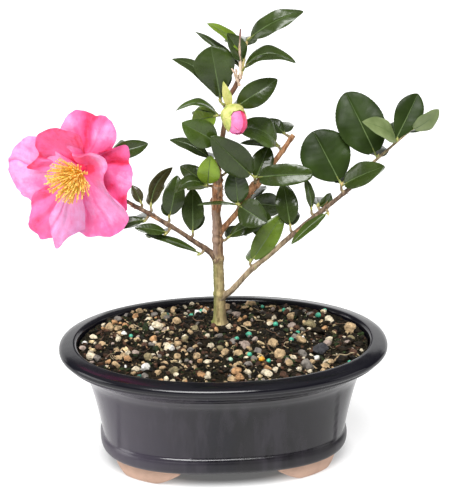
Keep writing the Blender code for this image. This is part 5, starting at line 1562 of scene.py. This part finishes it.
def make_bloom(settings):
    """The open flower: its petals, its green cup and its stalk."""
    heap = Heap()
    for seed, row in enumerate(PETALS.values()):
        add_petal(heap, row, settings, seed)
    axis = seen(BLOOM_CLOCK, BLOOM_LEAN)
    before, tip = np.array(LIMB_LINES["left"])[-2:, :3]
    run = unit(tip - before)
    capped(heap, lathe_rings(HEART, axis, *CUP_TURNED, 28), 0, 1.0)
    stalk = spline([tip - run * 1.5, tip + run * 2, HEART - axis * 5, HEART - axis * 2], 22)
    capped(heap, tube_rings(stalk, np.linspace(1.15, 2.1, 22), 14), 1)
    for k in range(6):
        add_scale(heap, HEART, axis, 60 * k, 36, (-6.3, -4.6, -2.5, -0.8), (2.6, 4.9, 6.3, 7.0), 1)
    looks = [petal_look(settings), flower_green_look()]
    heap.place("open_bloom", looks, 60, "petal", "bloom", value_name="rose")


def make_stamens(settings):
    """The tuft: filaments that fan out from one short tube, each with a small two-lobed anther."""
    axis = seen(BLOOM_CLOCK, BLOOM_LEAN)
    side, other = axes_of(axis, LATHE_HINT)
    foot = HEART + axis * (TUFT_START - 2.5) - UPWARD * 1.8
    draws = np.random.default_rng(7)
    threads, anthers = Heap(), Heap()
    capped(threads, lathe_rings(foot, axis, *TUBE_TURNED, 22))
    points, quads, fans = pebble_shape(4, 7)
    count = settings.filaments
    along = evenly(9)[:, None]
    for k in range(count):
        share = (k + 0.5) / count
        turn = k * np.pi * GOLDEN_SHARE + draws.uniform(-0.2, 0.2)
        opening = math.radians(2 + 39 * share ** 0.6 + draws.uniform(-3, 3))
        spoke = side * math.cos(turn) + other * math.sin(turn)
        start = foot + axis * 3.0 + spoke * (2.6 * math.sqrt(share))
        length = draws.uniform(17.0, 20.5) * (1.0 - 0.06 * share)
        way = axis * math.cos(opening) + spoke * math.sin(opening)
        bend = axis * (2.2 * (along ** 2 - along)) + draws.normal(0, 0.6, 3) * along ** 2
        line = start + way * (length * along) + bend
        rings = tube_rings(line, np.linspace(0.36, 0.22, 9), 5, (0.9, 0.1, 0.35))
        capped(threads, rings, np.repeat((0, 1), 4))
        lobe = points * np.array([0.38, 0.45, 0.75]) * draws.uniform(0.85, 1.15)
        own = unit(line[-1] - line[-2])
        body = lobe @ np.stack([*axes_of(own, (0.3, 0.1, 0.9)), own]) + line[-1]
        anthers.add(body, ((quads, 0), (fans, 0)))
    tints = ((0.3, 0.85), (0.7, 1.15))
    looks = [mottled("filament_" + name, colour, 0.5, 160.0, tints, depth=0.2, depth_size=0.002)
             for name, colour in (("lower", (1.0, 0.38, 0.02)), ("upper", (1.0, 0.66, 0.17)))]
    shades = ((0.3, (0.85, 0.4, 0.05)), (0.7, (1.0, 0.72, 0.22)))
    pollen = mottled("pollen", (0.95, 0.6, 0.12), 0.8, 700.0, shades)
    threads.place("filaments", looks, 60, "stamen", "stamens")
    anthers.place("anthers", [pollen], 60, "stamen")


def make_bud(settings):
    """The half open bud: petals wrapped over each other, held by pale green scales on a short stalk."""
    axis = seen(BUD_CLOCK, BUD_LEAN)
    start, away, _ = limb_exit("trunk", BUD_ALONG, TOWARD)
    heap = Heap()
    capped(heap, lathe_rings(BUD_TOP, axis, *BUD_CORE, 26), 0, 0.9)
    for k, (turn, half, rose) in enumerate(BUD_PETALS):
        radii = np.array((6.3, 6.5, 6.1, 4.5, 1.7)) + 0.14 * k
        add_scale(heap, BUD_TOP, axis, turn, half, (7.0, 10.0, 13.5, 16.8, 18.9), radii, 0, 0.35, 0.1, rose)
    heap.place("pink_bud", [petal_look(settings)], 60, "petal", "bud", value_name="rose")
    cup = Heap()
    bend = start + (BUD_TOP - start) * 0.6
    stalk = spline([start - away, start + away, bend, BUD_TOP + axis], 20)
    capped(cup, tube_rings(stalk, np.linspace(0.95, 1.6, 20), 12))
    capped(cup, lathe_rings(BUD_TOP, axis, *BUD_CUP, 26))
    for k, (turn, half, end) in enumerate(BUD_SCALES):
        heights = np.linspace(0.4, end, 5)
        radii = np.interp(heights, *SCALE_CURVE) + 0.08 * k
        add_scale(cup, BUD_TOP, axis, turn, half, heights, radii, 0, 0.45, 0.1)
    add_bract(cup)
    cup.place("bud_scales", [flower_green_look()], 50, "sepal", "bud_cup")


def add_bract(heap):
    """The pale pointed bract that stands over the bud, as a small folded leaf."""
    u, v = grid_steps(22, 11)
    out = seen(105, 20)
    face = unit(TOWARD - out * np.dot(TOWARD, out))
    half = 2.8 * np.sin(np.pi * (0.1 + 0.88 * u) ** 0.8).clip(0.02) ** 0.9
    rise = 0.5 * half * np.abs(v) + BRACT_LENGTH * 0.2 * u * (1 - u)
    top = BUD_TOP + out * (BRACT_LENGTH * u + 0 * v)[..., None] + np.cross(out, face) * (half * v)[..., None]
    top = top + face * rise[..., None]
    add_slab(heap, top, top - face * 0.45, (0, 0, 0))


# Stage
# The camera's own turn and rise, a little finer than the view's
CAMERA_TURN, CAMERA_RISE = math.radians(-4.53), math.radians(22.39)
# The floor: half its length, how far it lies under the feet and the size of the painted contact shade on it
FLOOR_HALF = 8.0
FLOOR_DROP = 0.0002
PAINTED_SHADE_REACH = (74.0 * MM, 46.0 * MM)
# The light from all round: the sine of a height above the level and how bright the light is there
SKY = ((0.1, 0.85), (0.24, 0.1), (0.6, 0.12), (0.95, 0.5))
DAYLIGHT_WAY = (0.16, 0.78, -1.4)
LAMP_TARGET = (0.0, 0.0, 0.12)


def make_camera():
    """A camera where the photograph was taken from, aimed so that the frame needs no shift."""
    flat = math.cos(CAMERA_RISE)
    away = np.array([math.sin(CAMERA_TURN) * flat, -math.cos(CAMERA_TURN) * flat, math.sin(CAMERA_RISE)])
    right = unit(np.cross(-away, (0, 0, 1.0)))
    upright = np.cross(right, -away)
    aim = -away + right * ((IMAGE_WIDTH / 2 - PRINCIPAL_X) / FOCAL_PIXELS)
    aim = unit(aim - upright * ((IMAGE_HEIGHT / 2 - PRINCIPAL_Y) / FOCAL_PIXELS))
    lens = bpy.data.cameras.new("view")
    lens.sensor_width = SENSOR
    lens.lens = FOCAL_PIXELS * SENSOR / IMAGE_HEIGHT
    lens.clip_start, lens.clip_end = 0.05, 60.0
    camera = put("view", lens)
    camera.location = np.array(VIEW_TARGET) + away * VIEW_DISTANCE
    camera.rotation_euler = aim_of(aim)
    bpy.context.scene.camera = camera


def aim_of(direction):
    """The turn of a camera or lamp that looks along a direction, kept upright."""
    flat = math.hypot(direction[0], direction[1])
    return (math.atan2(flat, -direction[2]), 0.0, math.atan2(-direction[0], direction[1]))


def add_lamp(name, place, target, size, power, height=None):
    """A rectangular soft light that looks at a point; its height is its size where none is given."""
    lamp = bpy.data.lights.new(name, "AREA")
    lamp.shape = "RECTANGLE"
    lamp.size, lamp.size_y = size, height or size
    lamp.energy = power
    made = put(name, lamp)
    made.location = place
    made.rotation_euler = aim_of(unit(np.array(target) - np.array(place)))


def make_floor(settings):
    """The pale floor, which glows by itself as painted light all round a soft painted shade under the pot."""
    mesh = bpy.data.meshes.new("floor")
    corners = ((-1, -1), (1, -1), (1, 1), (-1, 1))
    mesh.from_pydata([(x * FLOOR_HALF, y * FLOOR_HALF, -FLOOR_DROP) for x, y in corners], [], [(0, 1, 2, 3)])
    floor = put("floor", mesh)
    paper = finish("floor", tuple(settings.floor), 0.9, shine=0.1)
    shader = paper.node_tree.nodes["Principled BSDF"]
    shader.inputs["Emission Color"].default_value = (1.0, 1.0, 1.0, 1.0)
    shrink = (1 / PAINTED_SHADE_REACH[0], 1 / PAINTED_SHADE_REACH[1], 0.0)
    near = node_of(paper, "VectorMath", {1: shrink}, operation="MULTIPLY")
    away = node_of(paper, "VectorMath", operation="LENGTH")
    join(paper, node_of(paper, "TexCoord").outputs["Object"], near.inputs[0])
    join(paper, near.outputs["Vector"], away.inputs[0])
    # Painted light all round, falling to a painted contact shade under the pot
    glow = range_of(paper, away.outputs["Value"], 0.84, 1.14, 0.12, settings.painted_floor_light)
    join(paper, glow, shader.inputs["Emission Strength"])
    mesh.materials.append(paper)


def make_world(settings):
    """The light from all round, brightest from the level and below, and brighter again from above."""
    world = bpy.data.worlds.new("studio")
    world.use_nodes = True
    nodes, links = world.node_tree.nodes, world.node_tree.links
    parts = nodes.new("ShaderNodeSeparateXYZ")
    links.new(nodes.new("ShaderNodeTexCoord").outputs["Generated"], parts.inputs["Vector"])
    ramp = nodes.new("ShaderNodeValToRGB")
    spread(ramp.color_ramp.elements, [(place, (level, level, level)) for place, level in SKY])
    links.new(parts.outputs["Z"], ramp.inputs["Fac"])
    links.new(ramp.outputs["Color"], nodes["Background"].inputs["Color"])
    nodes["Background"].inputs["Strength"].default_value = settings.ambient
    bpy.context.scene.world = world


def make_stage(settings):
    """The floor, the soft lights and the camera."""
    make_floor(settings)
    make_world(settings)
    sun = bpy.data.lights.new("daylight", "SUN")
    sun.angle = math.radians(32)
    sun.energy = settings.daylight
    put("daylight", sun).rotation_euler = aim_of(unit(np.array(DAYLIGHT_WAY)))
    add_lamp("left", (-1.5, -0.1, 0.75), LAMP_TARGET, 0.9, settings.left)
    add_lamp("right", (1.5, -0.35, 0.8), LAMP_TARGET, 0.8, settings.right)
    for name, x in (("back_left", -0.67), ("back_right", 0.67)):
        add_lamp(name, (x, 1.0, 0.42), (x, 0.0, 0.42), 1.1, settings.back, 0.56)
    bpy.context.scene.view_settings.view_transform = "Standard"
    make_camera()


# Settings
def colour_setting(name, about, value):
    """A colour that a user can change."""
    return bpy.props.FloatVectorProperty(name=name, description=about, subtype="COLOR", size=3,
                                         min=0.0, max=1.0, default=value)


def number_setting(name, about, value, **limits):
    """A number that a user can change: a whole one where its value is whole."""
    kind = bpy.props.IntProperty if isinstance(value, int) else bpy.props.FloatProperty
    return kind(name=name, description=about, default=value, **limits)


class CamelliaPotSettings(bpy.types.PropertyGroup):
    """Sizes and colours of the pot and its feet."""
    ring_points: number_setting("Ring points", "Points round the pot", 288, min=96)
    ripple: number_setting("Ripple", "Unevenness of the glaze in millimetres", 0.3)
    glaze: colour_setting("Glaze", "Colour of the glaze", (0.006, 0.0055, 0.01))
    # The wall's greyer tone is the glaze's own; its streaks and paler left end are painted reflection
    wall_glaze_and_sheen: colour_setting("Worn glaze", "Its greyer colour on the wall", (0.011, 0.0095, 0.0125))
    clay: colour_setting("Clay", "Colour of the unglazed feet", (0.5, 0.33, 0.25))


class CamelliaSoilSettings(bpy.types.PropertyGroup):
    """What the soil is made of."""
    seed: number_setting("Seed", "Changes where the small stones lie", 12)
    lump: number_setting("Lumps", "Unevenness of the soil", 0.9)
    pebbles: number_setting("Pebbles", "Small stones", 190)
    grit: number_setting("Grit", "Small light grains", 300)
    chips: number_setting("Bark chips", "Dark chips of bark", 2600)
    twig_bits: number_setting("Twig bits", "Loose bits of twig and fibre", 160)


class CamelliaLimbSettings(bpy.types.PropertyGroup):
    """Bark of the trunk and boughs."""
    seed: number_setting("Seed", "Changes where the bark flakes", 3)
    relief: number_setting("Relief", "Depth of the bark in millimetres", 0.5)


class CamelliaLeafSettings(bpy.types.PropertyGroup):
    """Make of the leaves."""
    rows: number_setting("Rows", "Stations along a leaf", 40, min=12)
    leaf_thick: number_setting("Thickness", "Thickness in millimetres", 0.46)
    rib_width: number_setting("Midrib", "Width of the midrib in millimetres", 0.7)
    vein_depth: number_setting("Veins", "Depth of the side veins in millimetres", 0.07)
    leaf_roughness: number_setting("Roughness", "Roughness of the upper side", 0.25)


class CamelliaBloomSettings(bpy.types.PropertyGroup):
    """Make and colours of the bloom and the bud."""
    filaments: number_setting("Filaments", "Stamens in the tuft", 250)
    ruffle: number_setting("Ruffle", "Ruffling of the petals in millimetres", 1.6)
    petal_thick: number_setting("Thickness", "Petal thickness in millimetres", 0.55)
    pale: colour_setting("Pale pink", "Colour of the petals' open parts", (0.8, 0.34, 0.62))
    pink: colour_setting("Pink", "Colour between the pale and the rose", (0.8, 0.15, 0.37))
    rose: colour_setting("Rose", "Colour of their folds", (0.78, 0.09, 0.26))
    throat: colour_setting("Throat", "Colour at their root", (0.76, 0.035, 0.11))


class CamelliaStageSettings(bpy.types.PropertyGroup):
    """Floor and light."""
    floor: colour_setting("Floor", "Colour of the floor", (0.42, 0.42, 0.42))
    ambient: number_setting("Ambient", "Strength of the light from all round", 1.0)
    daylight: number_setting("Daylight", "Strength of the wide light above", 4.2)
    left: number_setting("Left", "Power of the light at the left", 11.0, unit="POWER")
    right: number_setting("Right", "Power of the light at the right", 3.0, unit="POWER")
    back: number_setting("Back", "Power of each light at the back", 2.6, unit="POWER")
    # The floor's own light is painted light that lifts the shadows round the pot
    painted_floor_light: number_setting("Floor glow", "Own light of the floor", 0.72)


# Operators
class CAMELLIA_OT_pot(bpy.types.Operator):
    """Build the glazed pot"""
    bl_idname = "camellia.pot"
    bl_label = "Pot"

    def execute(self, context):
        make_pot(context.scene.camellia_pot)
        return {"FINISHED"}


class CAMELLIA_OT_feet(bpy.types.Operator):
    """Build the four clay feet"""
    bl_idname = "camellia.feet"
    bl_label = "Feet"

    def execute(self, context):
        make_feet(context.scene.camellia_pot)
        return {"FINISHED"}


class CAMELLIA_OT_soil(bpy.types.Operator):
    """Build the soil with its stones, chips and beads"""
    bl_idname = "camellia.soil"
    bl_label = "Soil"

    def execute(self, context):
        make_soil(context.scene.camellia_soil)
        return {"FINISHED"}


class CAMELLIA_OT_limbs(bpy.types.Operator):
    """Build the trunk and the boughs"""
    bl_idname = "camellia.limbs"
    bl_label = "Trunk and boughs"

    def execute(self, context):
        make_limbs(context.scene.camellia_limbs)
        return {"FINISHED"}


class CAMELLIA_OT_twigs(bpy.types.Operator):
    """Build the stems, twigs and leaf buds"""
    bl_idname = "camellia.twigs"
    bl_label = "Twigs"

    def execute(self, context):
        make_twigs()
        return {"FINISHED"}


class CAMELLIA_OT_leaves(bpy.types.Operator):
    """Build the leaves"""
    bl_idname = "camellia.leaves"
    bl_label = "Leaves"

    def execute(self, context):
        make_leaves(context.scene.camellia_leaves)
        return {"FINISHED"}


class CAMELLIA_OT_bloom(bpy.types.Operator):
    """Build the open bloom and its stamens"""
    bl_idname = "camellia.bloom"
    bl_label = "Bloom"

    def execute(self, context):
        make_bloom(context.scene.camellia_bloom)
        make_stamens(context.scene.camellia_bloom)
        return {"FINISHED"}


class CAMELLIA_OT_bud(bpy.types.Operator):
    """Build the half open bud"""
    bl_idname = "camellia.bud"
    bl_label = "Bud"

    def execute(self, context):
        make_bud(context.scene.camellia_bloom)
        return {"FINISHED"}


class CAMELLIA_OT_stage(bpy.types.Operator):
    """Build the floor, the lights and the camera"""
    bl_idname = "camellia.stage"
    bl_label = "Stage"

    def execute(self, context):
        make_stage(context.scene.camellia_stage)
        return {"FINISHED"}


SETTINGS = {
    "camellia_pot": CamelliaPotSettings, "camellia_soil": CamelliaSoilSettings,
    "camellia_limbs": CamelliaLimbSettings, "camellia_leaves": CamelliaLeafSettings,
    "camellia_bloom": CamelliaBloomSettings, "camellia_stage": CamelliaStageSettings,
}
OPERATORS = (
    CAMELLIA_OT_pot, CAMELLIA_OT_feet, CAMELLIA_OT_soil, CAMELLIA_OT_limbs, CAMELLIA_OT_twigs,
    CAMELLIA_OT_leaves, CAMELLIA_OT_bloom, CAMELLIA_OT_bud, CAMELLIA_OT_stage,
)


class CAMELLIA_PT_panel(bpy.types.Panel):
    """Lists the pieces and their settings"""
    bl_idname = "CAMELLIA_PT_panel"
    bl_label = "Camellia Bonsai"
    bl_space_type = "VIEW_3D"
    bl_region_type = "UI"
    bl_category = "Camellia"

    def draw(self, context):
        for operator in OPERATORS:
            self.layout.operator(operator.bl_idname)
        for key, group in SETTINGS.items():
            box = self.layout.box()
            box.label(text=group.__doc__)
            for name in group.__annotations__:
                box.prop(getattr(context.scene, key), name)


def register():
    """Register the settings, the operators and the panel."""
    for key, group in SETTINGS.items():
        bpy.utils.register_class(group)
        setattr(bpy.types.Scene, key, bpy.props.PointerProperty(type=group))
    for item in (*OPERATORS, CAMELLIA_PT_panel):
        bpy.utils.register_class(item)


def unregister():
    """Take them out again."""
    for item in (CAMELLIA_PT_panel, *reversed(OPERATORS)):
        bpy.utils.unregister_class(item)
    for key, group in SETTINGS.items():
        delattr(bpy.types.Scene, key)
        bpy.utils.unregister_class(group)


def main():
    """Build everything in order."""
    register()
    bpy.ops.camellia.pot()
    bpy.ops.camellia.feet()
    bpy.ops.camellia.soil()
    bpy.ops.camellia.limbs()
    bpy.ops.camellia.twigs()
    bpy.ops.camellia.leaves()
    bpy.ops.camellia.bloom()
    bpy.ops.camellia.bud()
    bpy.ops.camellia.stage()


if __name__ == "__main__":
    main()
